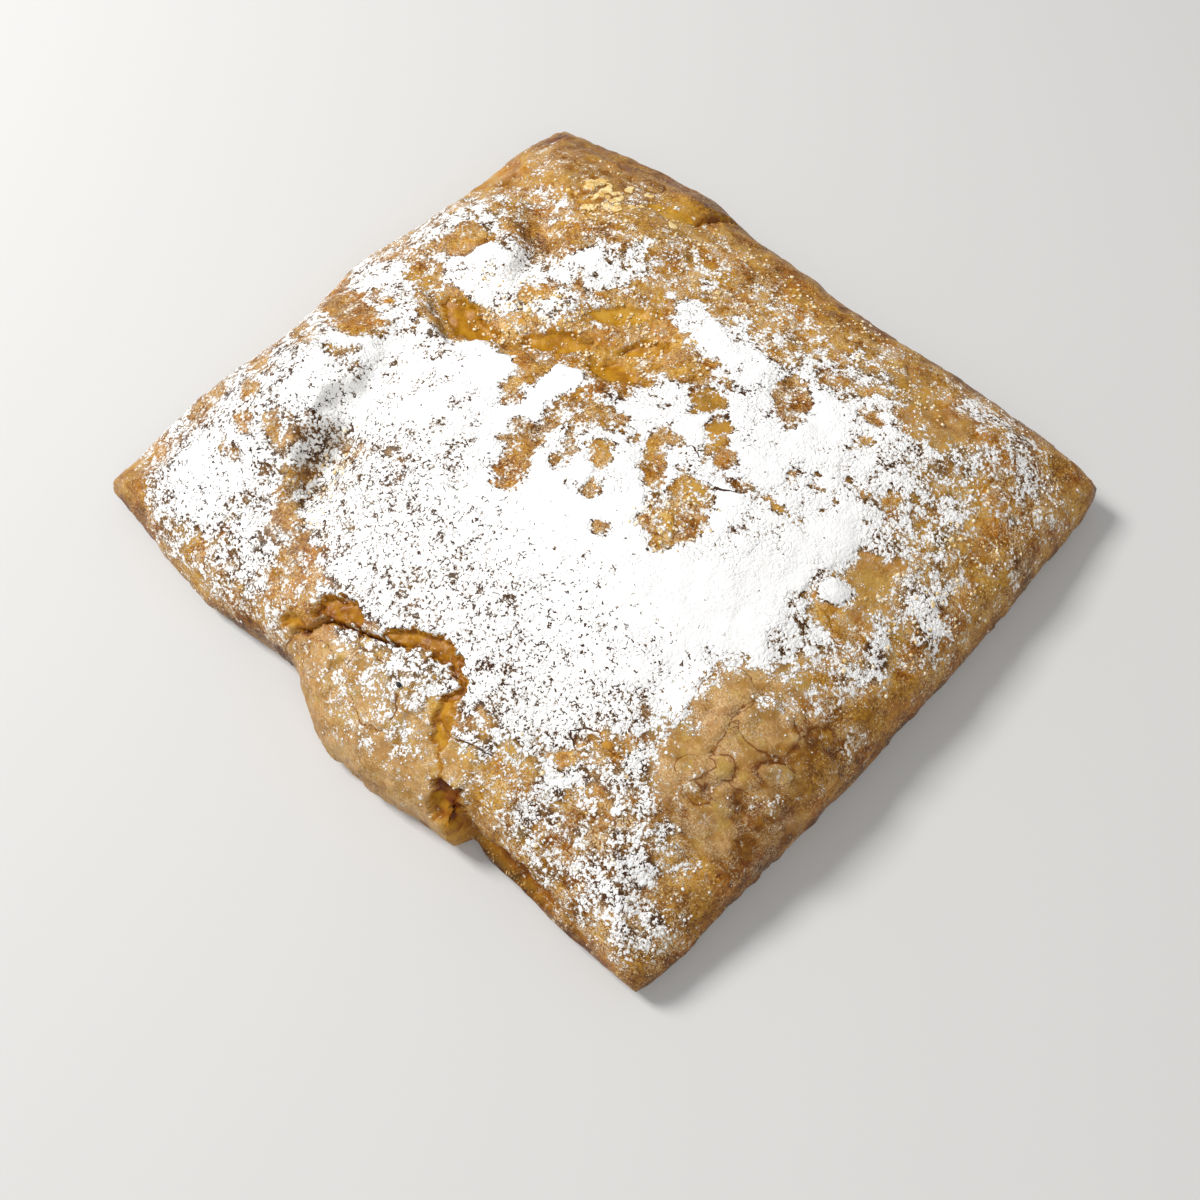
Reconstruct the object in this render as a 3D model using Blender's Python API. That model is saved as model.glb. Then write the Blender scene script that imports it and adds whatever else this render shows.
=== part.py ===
"""Bougatsa: one folded square packet of thin phyllo round a custard filling, baked whole.

Metres, +Z up, the underside flat on Z = 0 and the origin in the middle of it. +X runs along the packet's
longer side, and the open end of the fold, where the crust has burst, faces -Y.
The packet is one solid. A grid of points makes the top, rings carried round it make the rolled sides,
and three cutters open the burst crack, the torn hole at its end and the gap under the top sheet.
"""

import math

import bmesh
import bpy
import numpy as np

# Plan of the packet between its outermost points.
LENGTH = 0.1465
DEPTH = 0.1372
CORNER_CUT = 0.009
FLAT_CORNER_CUT = 0.022
CORNER_SHARPNESS = 30

# How the four sides wander about straight lines, each wave as (middle, reach, how far out).
LEFT_IN = 0.0026
LEFT_WAVES = ((0.0054, 0.0110, 0.0026), (-0.0226, 0.0120, -0.0032), (0.0294, 0.0100, -0.0020))
RIGHT_MIDDLE = 0.0164
RIGHT_CROWN = 0.0022
BACK_IN = 0.0044
BACK_WAVES = ((-0.0360, 0.0260, 0.0044), (0.0180, 0.0150, -0.0012))
FRONT_WAVES = ((-0.0400, 0.0180, 0.0024),)

# The rolled side: how far it leans in above and below its widest level, a share of the shoulder's height.
EDGE_ROLL = 0.0072
FOOT_ROLL = 0.0022
WIDEST_LEVEL = 0.26
SHOULDER_TURN = math.radians(64)

# Where the crust has burst: the loose shell of the bulge, from its left end to the torn right end.
SHELL_FROM = -0.0160
SHELL_CREST = 0.0040
SHELL_SINKS = 0.0120
SHELL_TO = 0.0335
SHELL_OUT = 0.0060
SHELL_LOSS = 0.42
TORN_STEP = 0.0015

# Heights: the shoulder at the corners and along the sides, and how far the middle puffs above it.
CORNER_SHOULDER = 0.0085
SIDE_SHOULDER = 0.0070
PUFF = 0.0100
PUFF_REACH = 0.0160

# The front edge lies lower on both sides of the shell.
FRONT_SINK = 0.0030
FRONT_SINK_FROM = -0.030
FRONT_SINK_TO = -0.058
SHELL_MIDDLE = 0.010
SHELL_HELD_UP = 0.016
SHELL_LET_GO = 0.040

# Hills and hollows of the top, each (x, y, half length, half width, turn in degrees, height).
HILLS = (
    (-0.0500, -0.0230, 0.0130, 0.0085, 95, 0.0036),
    (-0.0560, 0.0180, 0.0120, 0.0060, 85, 0.0022),
    (-0.0500, 0.0500, 0.0130, 0.0090, 20, 0.0012),
    (-0.0270, 0.0400, 0.0130, 0.0080, 25, 0.0020),
    (-0.0320, -0.0330, 0.0130, 0.0060, 112, -0.0062),
    (-0.0400, 0.0290, 0.0090, 0.0050, 130, -0.0052),
    (-0.0370, 0.0030, 0.0110, 0.0040, 8, -0.0034),
    (-0.0230, 0.0090, 0.0150, 0.0050, 25, -0.0036),
    (-0.0060, 0.0190, 0.0110, 0.0070, 40, -0.0020),
    (0.0020, -0.0086, 0.0340, 0.0220, 10, 0.0016),
    (0.0330, 0.0094, 0.0240, 0.0180, 40, 0.0014),
    (0.0560, 0.0120, 0.0060, 0.0045, 20, -0.0015),
    (0.0560, -0.0220, 0.0120, 0.0080, 80, 0.0016),
    (0.0060, -0.0560, 0.0160, 0.0070, 0, 0.0016),
    (0.0420, -0.0446, 0.0120, 0.0070, -10, -0.0014),
    (-0.0250, 0.0590, 0.0090, 0.0040, 0, 0.0018),
)

# The crack round the burst shell: (x, y, half width) along its middle.
CRACK = (
    (-0.0165, -0.0590, 0.0007),
    (-0.0128, -0.0586, 0.0008),
    (-0.0106, -0.0570, 0.0009),
    (-0.0098, -0.0544, 0.0010),
    (-0.0082, -0.0525, 0.0015),
    (-0.0050, -0.0518, 0.0012),
    (-0.0015, -0.0518, 0.0008),
    (0.0020, -0.0506, 0.0008),
    (0.0050, -0.0486, 0.0010),
    (0.0080, -0.0468, 0.0010),
    (0.0115, -0.0459, 0.0010),
    (0.0148, -0.0461, 0.0009),
    (0.0173, -0.0483, 0.0008),
    (0.0183, -0.0515, 0.0008),
    (0.0205, -0.0552, 0.0008),
    (0.0250, -0.0604, 0.0009),
)
CRACK_DEPTH = 0.0042
CRACK_TAPER = 0.5
CUTTER_ABOVE = 0.0060

# The torn hole at the right end of the shell, and the gap that runs on from it under the top sheet.
HOLE_CENTRE = (0.0290, -0.0625, 0.0095)
HOLE_RADII = (0.0052, 0.0044, 0.0046)
GAP_FROM_X = 0.0330
GAP_TO_X = 0.0600
GAP_STEPS = 9
GAP_CLOSES_TO = 0.25
GAP_HEIGHT = 0.0026
GAP_LEVEL = 0.0052
GAP_INSET = 0.0034
CUTTER_OUTSIDE = 0.0030

# How finely the top and the sides are divided.
TOP_COLUMNS = 52
TOP_ROWS = 47
SIDE_RINGS = 6
SHARP_EDGE = math.radians(50)

CRUST_COLOUR = (0.72, 0.45, 0.17, 1.0)
CRUST_ROUGHNESS = 0.55


def smooth(value, low, high):
    """0 below low, 1 above high, and a smooth step between them."""
    t = np.clip((value - low) / (high - low), 0.0, 1.0)
    return t * t * (3.0 - 2.0 * t)


def wave(value, middle, reach):
    """A bell curve, 1 at the middle and nearly 0 beyond twice the reach."""
    return np.exp(-(((value - middle) / reach) ** 2))


def waves(value, listed):
    return sum(out * wave(value, middle, reach) for middle, reach, out in listed)


def left_side(y):
    return -0.5 * LENGTH + LEFT_IN - waves(y, LEFT_WAVES)


def right_side(y):
    return 0.5 * LENGTH - RIGHT_CROWN * ((y - RIGHT_MIDDLE) / (0.5 * DEPTH)) ** 2


def back_side(x):
    return 0.5 * DEPTH - BACK_IN + waves(x, BACK_WAVES)


def front_side(x):
    """The front, where the burst shell stands out and then steps back at its torn end."""
    shell = smooth(x, SHELL_FROM, SHELL_CREST) * (1.0 - SHELL_LOSS * smooth(x, SHELL_SINKS, SHELL_TO))
    shell *= 1.0 - smooth(x, SHELL_TO - TORN_STEP, SHELL_TO + TORN_STEP)
    return -0.5 * DEPTH + SHELL_OUT * (1.0 - shell) - waves(x, FRONT_WAVES)


def plan(across, along, inset):
    """Places inside an outline drawn in by the inset, for shares from -1 to 1 of its length and depth."""
    x, y = 0.5 * LENGTH * across, 0.5 * DEPTH * along
    low_x, high_x = left_side(y) + inset, right_side(y) - inset
    low_y, high_y = front_side(x) + inset, back_side(x) - inset
    back_left = 0.25 * (1.0 - across) * (1.0 + along)
    cut = CORNER_CUT + FLAT_CORNER_CUT * back_left
    corner = 1.0 - cut * np.abs(across * along) ** CORNER_SHARPNESS
    return (
        (low_x + (high_x - low_x) * (across + 1.0) / 2.0) * corner,
        (low_y + (high_y - low_y) * (along + 1.0) / 2.0) * corner,
    )


def height(x, y):
    """The top's height: a shoulder, lower at the corners, a puffed middle, and its hills and hollows."""
    share_x, share_y = np.abs(x) / (0.5 * LENGTH), np.abs(y) / (0.5 * DEPTH)
    shoulder = CORNER_SHOULDER + SIDE_SHOULDER * (1.0 - (share_x * share_y) ** 2)
    let_go = smooth(np.abs(x - SHELL_MIDDLE), SHELL_HELD_UP, SHELL_LET_GO)
    shoulder -= FRONT_SINK * smooth(-y, -FRONT_SINK_FROM, -FRONT_SINK_TO) * let_go
    inwards = np.minimum(0.5 * LENGTH - np.abs(x), 0.5 * DEPTH - np.abs(y)) - EDGE_ROLL
    puffed = 1.0 - np.exp(-np.clip(inwards, 0.0, None) / PUFF_REACH)
    z = shoulder + PUFF * puffed
    for hill_x, hill_y, half_length, half_width, turn, rise in HILLS:
        c, s = math.cos(math.radians(turn)), math.sin(math.radians(turn))
        along = ((x - hill_x) * c + (y - hill_y) * s) / half_length
        across = ((y - hill_y) * c - (x - hill_x) * s) / half_width
        z = z + rise * np.exp(-(along**2) - across**2)
    return z


def side_profile(turn):
    """How far inside the outline the rolled side lies, and at what share of its shoulder's height."""
    if turn > 0:
        inset = EDGE_ROLL * (1 - math.cos(turn)) / (1 - math.cos(SHOULDER_TURN))
        return inset, WIDEST_LEVEL + (1 - WIDEST_LEVEL) * math.sin(turn) / math.sin(SHOULDER_TURN)
    return FOOT_ROLL * (1 - math.cos(turn)), WIDEST_LEVEL * (1 + math.sin(turn))


def grid_border(columns, rows):
    """The indices of a grid's outer points, once round from its front left corner."""
    front = list(range(columns))
    right = [r * columns + columns - 1 for r in range(1, rows)]
    back = [(rows - 1) * columns + c for c in range(columns - 2, -1, -1)]
    left = [r * columns for r in range(rows - 2, 0, -1)]
    return np.array(front + right + back + left)


def packet_mesh():
    """All points of the packet, with its faces: the top grid, the rings of the sides, and one flat foot."""
    across, along = np.meshgrid(np.linspace(-1, 1, TOP_COLUMNS), np.linspace(-1, 1, TOP_ROWS))
    across, along = across.ravel(), along.ravel()
    x, y = plan(across, along, EDGE_ROLL)
    points = [np.stack([x, y, height(x, y)], axis=1)]
    faces = []
    for r in range(TOP_ROWS - 1):
        for c in range(TOP_COLUMNS - 1):
            at = r * TOP_COLUMNS + c
            faces.append((at, at + 1, at + TOP_COLUMNS + 1, at + TOP_COLUMNS))

    border = grid_border(TOP_COLUMNS, TOP_ROWS)
    shoulder = points[0][border, 2]
    upper, count = border, len(border)
    for ring, turn in enumerate(np.linspace(SHOULDER_TURN, -math.pi / 2, SIDE_RINGS + 1)[1:]):
        inset, level = side_profile(turn)
        x, y = plan(across[border], along[border], inset)
        points.append(np.stack([x, y, shoulder * level], axis=1))
        lower = TOP_COLUMNS * TOP_ROWS + ring * count + np.arange(count)
        for i in range(count):
            j = (i + 1) % count
            faces.append((upper[i], lower[i], lower[j], upper[j]))
        upper = lower
    faces.append(tuple(upper[::-1]))
    return np.concatenate(points), [tuple(int(i) for i in face) for face in faces]


def new_object(name, points, faces):
    mesh = bpy.data.meshes.new(name)
    mesh.from_pydata([tuple(p) for p in points], [], faces)
    mesh.validate()
    thing = bpy.data.objects.new(name, mesh)
    bpy.context.scene.collection.objects.link(thing)
    return thing


def cut_with(thing, target):
    """Cuts this shape out of the target, and leaves it as a guide that isn't part of the model."""
    shape = bmesh.new()
    shape.from_mesh(thing.data)
    bmesh.ops.recalc_face_normals(shape, faces=shape.faces)
    shape.to_mesh(thing.data)
    shape.free()
    thing.hide_render = True
    thing.display_type = "WIRE"
    cut = target.modifiers.new(thing.name, "BOOLEAN")
    cut.operation = "DIFFERENCE"
    cut.solver = "EXACT"
    cut.object = thing


def bar(name, corners):
    """A closed bar with four long edges, each given as its points (x, y, z) from end to end."""
    count = len(corners[0])
    faces = [tuple(k * count for k in range(4)), tuple(k * count + count - 1 for k in (3, 2, 1, 0))]
    for k in range(4):
        after = (k + 1) % 4
        for i in range(count - 1):
            faces.append((k * count + i, k * count + i + 1, after * count + i + 1, after * count + i))
    return new_object(name, np.concatenate(corners), faces)


def cut_crack(packet):
    """A crack along its line, narrower at its bottom."""
    x, y, half_width = np.array(CRACK).T
    out_x, out_y = -np.gradient(y), np.gradient(x)
    size = np.hypot(out_x, out_y)
    out_x, out_y = out_x / size * half_width, out_y / size * half_width
    low, high = height(x, y) - CRACK_DEPTH, height(x, y) + CUTTER_ABOVE
    edges = ((1.0, high), (-1.0, high), (-CRACK_TAPER, low), (CRACK_TAPER, low))
    cutter = bar("crack_cutter", [np.stack([x + k * out_x, y + k * out_y, z], axis=1) for k, z in edges])
    cut_with(cutter, packet)


def cut_hole(packet):
    """A scoop out of the shell's torn end."""
    shape = bmesh.new()
    bmesh.ops.create_icosphere(shape, subdivisions=2, radius=1.0)
    bmesh.ops.scale(shape, vec=HOLE_RADII, verts=shape.verts)
    bmesh.ops.translate(shape, vec=HOLE_CENTRE, verts=shape.verts)
    mesh = bpy.data.meshes.new("hole_cutter")
    shape.to_mesh(mesh)
    shape.free()
    scoop = bpy.data.objects.new("hole_cutter", mesh)
    bpy.context.scene.collection.objects.link(scoop)
    cut_with(scoop, packet)


def cut_gap(packet):
    """A slot along the front, under the top sheet, that closes towards its right end."""
    x = np.linspace(GAP_FROM_X, GAP_TO_X, GAP_STEPS)
    closing = np.linspace(1.0, GAP_CLOSES_TO, GAP_STEPS)
    inner, outer = front_side(GAP_TO_X) + GAP_INSET * closing, front_side(x) - CUTTER_OUTSIDE
    low, high = GAP_LEVEL - 0.5 * GAP_HEIGHT * closing, GAP_LEVEL + 0.5 * GAP_HEIGHT * closing
    edges = ((outer, low), (inner, low), (inner, high), (outer, high))
    cut_with(bar("gap_cutter", [np.stack([x, y, z], axis=1) for y, z in edges]), packet)


def crust_material():
    material = bpy.data.materials.new("baked_phyllo")
    material.use_nodes = True
    shader = material.node_tree.nodes["Principled BSDF"]
    shader.inputs["Base Color"].default_value = CRUST_COLOUR
    shader.inputs["Roughness"].default_value = CRUST_ROUGHNESS
    shader.inputs["Metallic"].default_value = 0.0
    return material


def main():
    for thing in list(bpy.data.objects):
        bpy.data.objects.remove(thing, do_unlink=True)
    packet = new_object("pastry_packet", *packet_mesh())
    packet.data.materials.append(crust_material())
    packet.data.shade_smooth()
    packet.data.set_sharp_from_angle(angle=SHARP_EDGE)
    cut_crack(packet)
    cut_hole(packet)
    cut_gap(packet)


main()
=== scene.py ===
# Bougatsa: a folded phyllo packet, burst along one side and dusted with icing sugar.
# Shapes are worked out in millimetres from the middle of the packet's foot, and makeMesh turns them
# into metres.
# The last number of each cloud, flatCloud, wander or cells call is its seed.
import math

import bpy
import numpy as np
from mathutils import Matrix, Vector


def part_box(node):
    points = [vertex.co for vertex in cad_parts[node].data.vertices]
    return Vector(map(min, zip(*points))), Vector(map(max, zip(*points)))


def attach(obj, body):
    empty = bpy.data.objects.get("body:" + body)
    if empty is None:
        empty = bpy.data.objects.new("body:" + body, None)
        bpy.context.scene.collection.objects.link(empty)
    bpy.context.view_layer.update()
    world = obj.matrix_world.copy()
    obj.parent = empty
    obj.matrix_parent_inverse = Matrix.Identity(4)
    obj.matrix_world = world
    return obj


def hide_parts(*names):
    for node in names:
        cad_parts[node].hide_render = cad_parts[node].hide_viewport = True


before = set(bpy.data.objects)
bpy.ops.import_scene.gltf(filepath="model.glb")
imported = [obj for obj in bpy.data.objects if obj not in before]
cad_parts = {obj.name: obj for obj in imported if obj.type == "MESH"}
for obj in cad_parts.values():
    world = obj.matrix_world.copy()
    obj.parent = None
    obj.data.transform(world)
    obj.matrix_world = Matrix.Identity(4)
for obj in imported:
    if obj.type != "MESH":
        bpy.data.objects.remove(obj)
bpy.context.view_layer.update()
millimetre = 0.001
cadLow, cadHigh = (np.array(corner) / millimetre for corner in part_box("pastry_packet"))

packet = {
    "length": cadHigh[0] - cadLow[0],
    "depth": cadHigh[1] - cadLow[1],
    "cornerCut": 0.009,          # share of the size that a corner is pulled in
    "flatCornerCut": 0.022,      # the same, more, at the blunt back left corner
    "cornerSharpness": 30,
    "edgeRoll": 7.2,             # how far the rolled side leans in above its widest level
    "footRoll": 2.2,             # and below it
    "widestLevel": 0.26,         # share of the shoulder's height
    "shoulderTurn": math.radians(64),
    "cornerShoulder": 8.5,
    "sideShoulder": 7.0,
    "puff": 10.0,                # how far the middle stands above the shoulder
    "puffReach": 16.0,
    "leftIn": 2.6,
    "leftWaves": ((5.4, 11.0, 2.6), (-22.6, 12.0, -3.2), (29.4, 10.0, -2.0)),   # middle, reach, how far out
    "rightMiddle": 16.4,
    "rightCrown": 2.2,
    "backIn": 4.4,
    "backWaves": ((-36.0, 26.0, 4.4), (18.0, 15.0, -1.2)),
    "frontWaves": ((-40.0, 18.0, 2.4),),
    "shell": (-16.0, 4.0, 12.0, 33.5),   # along the front: where it starts, crests, sinks and ends torn
    "shellOut": 6.0,
    "shellLoss": 0.42,
    "frontSink": 3.0,            # the front edge lies lower beside the shell
}


def smooth(value, low, high):
    # 0 below low, 1 above high, and between them 3t^2 - 2t^3.
    t = np.clip((value - low) / (high - low), 0.0, 1.0)
    return t * t * (3.0 - 2.0 * t)


def wave(value, middle, reach):
    # A bell curve: e to the power of minus the squared distance over the reach.
    return np.exp(-(((value - middle) / reach) ** 2))


def lattice(ix, iy, iz, seed):
    # A fixed random number from 0 to 1 for each whole-number place: its three numbers times large primes
    # are added up, mixed by shifting, and cut to 32 bits.
    mixed = (ix * 374761393 + iy * 668265263 + iz * 1440662683 + seed * 1274126177) & 0xFFFFFFFF
    mixed = ((mixed ^ (mixed >> 13)) * 1274126177) & 0xFFFFFFFF
    return (mixed ^ (mixed >> 16)) / 0xFFFFFFFF


def cloud(x, y, z, size, layers=3, seed=0):
    # Soft random waves, about -1 to 1: lattice numbers blended across each cell by 3t^2 - 2t^3, plus layers
    # half the size and about half as strong.
    total, weight, reach = 0.0, 1.0, 0.0
    for layer in range(layers):
        scale = 2.03**layer / size
        places = [value * scale + 17.3 * layer for value in (x, y, z)]
        whole = [np.floor(place).astype(np.int64) for place in places]
        part = [place - base for place, base in zip(places, whole)]
        part = [f * f * (3.0 - 2.0 * f) for f in part]
        value = 0.0
        for corner in range(8):
            step = [corner >> k & 1 for k in range(3)]
            share = 1.0
            for k in range(3):
                share = share * (part[k] if step[k] else 1.0 - part[k])
            corners = [base + move for base, move in zip(whole, step)]
            value = value + share * lattice(*corners, seed + layer)
        total = total + weight * (2.0 * value - 1.0)
        reach += weight
        weight *= 0.55
    return 1.7 * total / reach


def flatCloud(x, y, size, layers, seed):
    # The same waves as seen from above: alike at every height.
    return cloud(x, y, 0.0 * x, size, layers, seed)


def wander(x, y, far, size, seed):
    # Places moved sideways by soft waves, so that what is drawn over them runs unevenly.
    return x + far * flatCloud(x, y, size, 2, seed), y + far * flatCloud(x, y, size, 2, seed + 1)


def cells(x, y, size, seed=0):
    # One point is scattered in each square of a grid. How far, in squares, the nearest and the second
    # nearest lie, and the nearest one's own random number.
    px, py = x / size, y / size
    ix, iy = np.floor(px).astype(np.int64), np.floor(py).astype(np.int64)
    nearest, second, own = np.full(px.shape, 9.0), np.full(px.shape, 9.0), np.zeros(px.shape)
    for stepX in (-1, 0, 1):
        for stepY in (-1, 0, 1):
            cx, cy = ix + stepX, iy + stepY
            far = np.hypot(cx + lattice(cx, cy, 0, seed) - px, cy + lattice(cx, cy, 1, seed) - py)
            second = np.where(far < nearest, nearest, np.minimum(second, far))
            own = np.where(far < nearest, lattice(cx, cy, 2, seed), own)
            nearest = np.minimum(nearest, far)
    return nearest, second, own


def besidePath(x, y, rows):
    # The nearest place on a bent line, piece by piece: the distance, positive on the line's left, and the
    # rows' further values there, blended between the ends of that piece.
    rows = np.asarray(rows, float)
    best, signed = np.full(x.shape, 1e9), np.zeros(x.shape)
    values = [np.zeros(x.shape) for _ in range(rows.shape[1] - 2)]
    for start, end in zip(rows[:-1], rows[1:]):
        wayX, wayY = end[0] - start[0], end[1] - start[1]
        share = np.clip(((x - start[0]) * wayX + (y - start[1]) * wayY) / (wayX**2 + wayY**2), 0.0, 1.0)
        offX, offY = x - start[0] - share * wayX, y - start[1] - share * wayY
        far = np.hypot(offX, offY)
        closer = far < best
        best = np.where(closer, far, best)
        signed = np.where(closer, np.where(wayX * offY - wayY * offX > 0.0, far, -far), signed)
        for k, value in enumerate(values):
            values[k] = np.where(closer, start[2 + k] + share * (end[2 + k] - start[2 + k]), value)
    return signed, values


def ovalPlace(x, y, cx, cy, halfLength, halfWidth, turn):
    # A place along and across an oval, each 1 at its edge.
    c, s = math.cos(math.radians(turn)), math.sin(math.radians(turn))
    return ((x - cx) * c + (y - cy) * s) / halfLength, ((y - cy) * c - (x - cx) * s) / halfWidth


def ovalDistance(x, y, cx, cy, halfLength, halfWidth, turn):
    # About how far inside an oval a place lies: one minus its stretched distance, times the narrower half.
    along, across = ovalPlace(x, y, cx, cy, halfLength, halfWidth, turn)
    return (1.0 - np.hypot(along, across)) * min(halfLength, halfWidth)


def layUp(x, y, base, rows, edge=0.5):
    # Paints ovals over each other: each moves the value to its own by how far inside it a place lies.
    value = np.full(x.shape, base)
    for *oval, goal, soft in rows:
        value = value + (goal - value) * smooth(ovalDistance(x, y, *oval), -edge * soft, edge * soft)
    return value


# Each row: x, y, half length, half width, turn in degrees, height.
hills = (
    (-50.0, -24.0, 14.0, 8.5, 95, 3.6), (-56.0, 18.0, 12.0, 6.0, 85, 2.0),
    (-50.0, 50.0, 13.0, 9.0, 20, 1.2), (-27.0, 40.0, 13.0, 8.0, 25, 2.0),
    (-33.0, -33.0, 12.0, 5.5, 108, -3.2), (-39.0, 27.0, 9.0, 4.5, 130, -2.6),
    (-34.0, 5.0, 12.0, 4.5, 10, -1.6), (-18.0, 12.0, 15.0, 5.0, 25, -1.8),
    (-6.0, 19.0, 11.0, 7.0, 40, -1.6), (2.0, -8.6, 34.0, 22.0, 10, 1.4), (33.0, 9.4, 24.0, 18.0, 40, 1.2),
    (56.0, 12.0, 7.0, 5.0, 20, -1.4), (52.5, 5.5, 4.0, 3.2, 0, 0.9), (58.0, -24.0, 13.0, 9.0, 80, 1.4),
    (6.0, -56.0, 16.0, 7.0, 0, 1.6), (42.0, -44.6, 12.0, 7.0, -10, -1.2), (42.0, -38.5, 4.5, 2.4, 25, 0.5),
    (-25.0, 59.0, 9.0, 4.0, 0, 1.6), (22.0, 30.0, 6.0, 5.0, 0, -0.8), (14.0, 4.0, 5.0, 6.0, 0, -0.7),
    (-5.0, -8.0, 4.0, 9.0, 0, -0.7),
)

# Each fold is a line whose left side falls steeply: x, y, how far it falls.
folds = {
    "leftHill": (
        (-45, -3, 0.4), (-42, -12, 1.8), (-39.5, -21, 3.4), (-37.5, -29, 4.8), (-35.5, -36, 4.6),
        (-30.5, -43, 3.2), (-24, -48.5, 2), (-17.5, -54.5, 0.6)),
    "leftRidge": (
        (-53, 34, 0), (-47, 31, 1.6), (-42, 26, 2.1), (-38, 20, 1.6), (-34, 14.5, 0.6), (-31, 12, 0)),
    "groove": (
        (-50, 4.5, 0), (-43, 1, 1.7), (-36.5, -1.8, 2.8), (-32, -2.8, 2.9), (-30, 1.2, 2.7),
        (-26.5, 4.4, 2.4), (-22.5, 2.6, 2.3), (-19, 3.8, 2.1), (-15, 6.2, 1.9), (-10, 8.6, 1.7),
        (-4, 9.6, 1.4), (2, 11.6, 0.8), (5, 13.5, 0)),
}
foldForm = {   # over how many millimetres the fall takes, and how far the hollow below it lasts
    "leftHill": (4.8, 10.0),
    "leftRidge": (4.2, 8.0),
    "groove": (0.8, 7.5),
}

crack = {   # the burst round the shell
    "line": (   # x, y
        (-16.8, -59.6), (-12.0, -59.2), (-10.2, -57.0), (-8.8, -54.8), (-3.5, -53.2), (0.0, -51.7),
        (4.5, -50.2), (8.0, -47.6), (11.5, -46.5), (14.6, -46.3), (17.2, -47.8), (18.2, -50.6),
        (19.8, -54.0), (21.8, -57.6), (25.0, -60.2)),
    "slot": (   # x, y, half width
        (-13.4, -59.6, 0.15), (-11.4, -59.2, 0.42), (-10.0, -57.2, 0.46), (-9.0, -55.4, 0.5),
        (-7.2, -54.4, 0.42), (-3.5, -53.3, 0.42), (0.0, -51.9, 0.42), (4.0, -50.5, 0.32),
        (6.0, -49.8, 0.12)),
    "slotDepth": 2.8,
    "ragged": 0.52,
    "calm": (58.5, 61.5, 0.65),   # on the steep front: from, to, and how much less ragged
}

# Where the top leaves have come away: how deep, how dark inside, and x, y, half width along each.
# How dark is partly the inner leaves' tone and partly painted shade.
hollows = {
    "wide": (1.7, 0.58, (
        (-11.6, -55.0, 0.9), (-10.2, -53.0, 2.0), (-7.6, -52.2, 2.3), (-4.8, -51.4, 1.7),
        (-2.8, -51.8, 0.5))),
    "wedge": (1.0, 0.42, (
        (-17.0, -59.6, 0.3), (-14.8, -58.5, 0.9), (-12.4, -58.3, 1.0), (-10.4, -58.4, 0.5))),
    "arm": (1.2, 0.52, (
        (1.8, -50.4, 0.3), (4.2, -48.8, 1.2), (6.4, -47.6, 1.7), (8.6, -46.6, 1.1), (10.6, -45.9, 1.5),
        (14.2, -45.7, 1.2), (16.2, -46.8, 0.8), (18.6, -47.9, 0.7), (19.0, -49.2, 0.5),
        (17.6, -50.9, 0.4))),
    "pane": (0.7, 0.34, (
        (18.4, -51.7, 0.7), (19.6, -53.6, 1.9), (20.9, -55.8, 1.6), (22.2, -57.2, 0.6), (23.4, -58.5, 0.3),
        (25.2, -60.2, 0.35))),
    "amber": (1.3, 0.36, (
        (-41.5, 5.2, 1.4), (-38.4, 5.0, 2.7), (-34.6, 4.2, 2.8), (-31.4, 4.4, 2.2), (-29.0, 5.4, 1.2))),
    "amberMiddle": (1.0, 0.28, (
        (-23.6, 8.6, 0.9), (-20.4, 10.8, 2.2), (-16.8, 13.0, 2.1), (-14.0, 15.0, 1.0))),
    "amberRound": (1.1, 0.34, ((-9.4, 12.4, 1.6), (-6.4, 13.6, 3.1), (-3.2, 14.0, 2.3))),
    "amberEnd": (1.0, 0.30, ((-8.0, 18.8, 0.8), (-5.0, 21.2, 1.9), (-2.0, 23.6, 1.2))),
    "amberBack": (0.6, 0.12, ((-17.6, 20.0, 0.9), (-13.8, 23.2, 2.1), (-9.8, 26.6, 1.2))),
    "end": (1.7, 0.40, ((26.8, -63.6, 1.6), (28.6, -62.9, 1.8), (31.0, -62.4, 1.3))),
    "endTongue": (0.5, 0.24, ((30.6, -64.4, 1.1), (32.0, -64.6, 1.2), (33.0, -63.8, 0.7))),
    # painted shade under the torn skin
    "endShade": (2.2, 0.95, (
        (25.3, -61.7, 0.9), (27.2, -61.8, 1.2), (28.8, -61.8, 1.3), (30.2, -61.6, 1.1),
        (31.1, -61.1, 0.5))),
    # painted shade: the pit painted near black
    "endPit": (3.2, 1.0, ((28.9, -63.4, 0.34), (30.7, -63.3, 0.34))),
    "backEnd": (1.7, 0.62, (
        (-20.8, 54.2, 0.3), (-20.0, 57.0, 0.8), (-18.8, 60.0, 0.9), (-17.4, 63.0, 0.7),
        (-16.8, 65.5, 0.3))),
    "backPane": (0.5, 0.10, (
        (-30.0, 49.5, 0.8), (-26.0, 51.0, 2.0), (-22.6, 52.6, 1.6), (-20.6, 54.0, 0.7))),
}

gap = {   # the slit that runs on under the top skin
    "from": 33.0, "to": 62.0,
    "level": 0.47, "halfHeight": 0.16,   # shares of the wall's height
    "depth": 2.6,
}

fineCracks = (   # x, y
    ((19.5, -54.4), (23.0, -54.9), (25.0, -54.2), (27.4, -53.4), (30.5, -52.4)),
    ((54.6, -16.0), (54.8, -20.0), (54.2, -23.0), (55.2, -26.5), (55.6, -29.0), (57.5, -30.5),
     (57.2, -32.6)),
    ((54.0, 1.6), (55.4, 0.4), (57.0, -1.2), (58.0, -0.6)),
    ((32.2, 53.2), (33.6, 51.4), (34.8, 49.2)),
    ((24.0, 54.6), (26.4, 52.6)),
    ((-12.5, -59.0), (-14.0, -62.0), (-13.6, -65.0)),
    ((25.5, 5.0), (27.5, 5.4), (29.5, 7.2), (30.8, 9.0)),
    ((15.8, 8.4), (17.6, 8.6), (19.6, 7.8)),
    ((-2.0, -53.2), (0.5, -56.0), (0.2, -58.5)),
)


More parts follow.
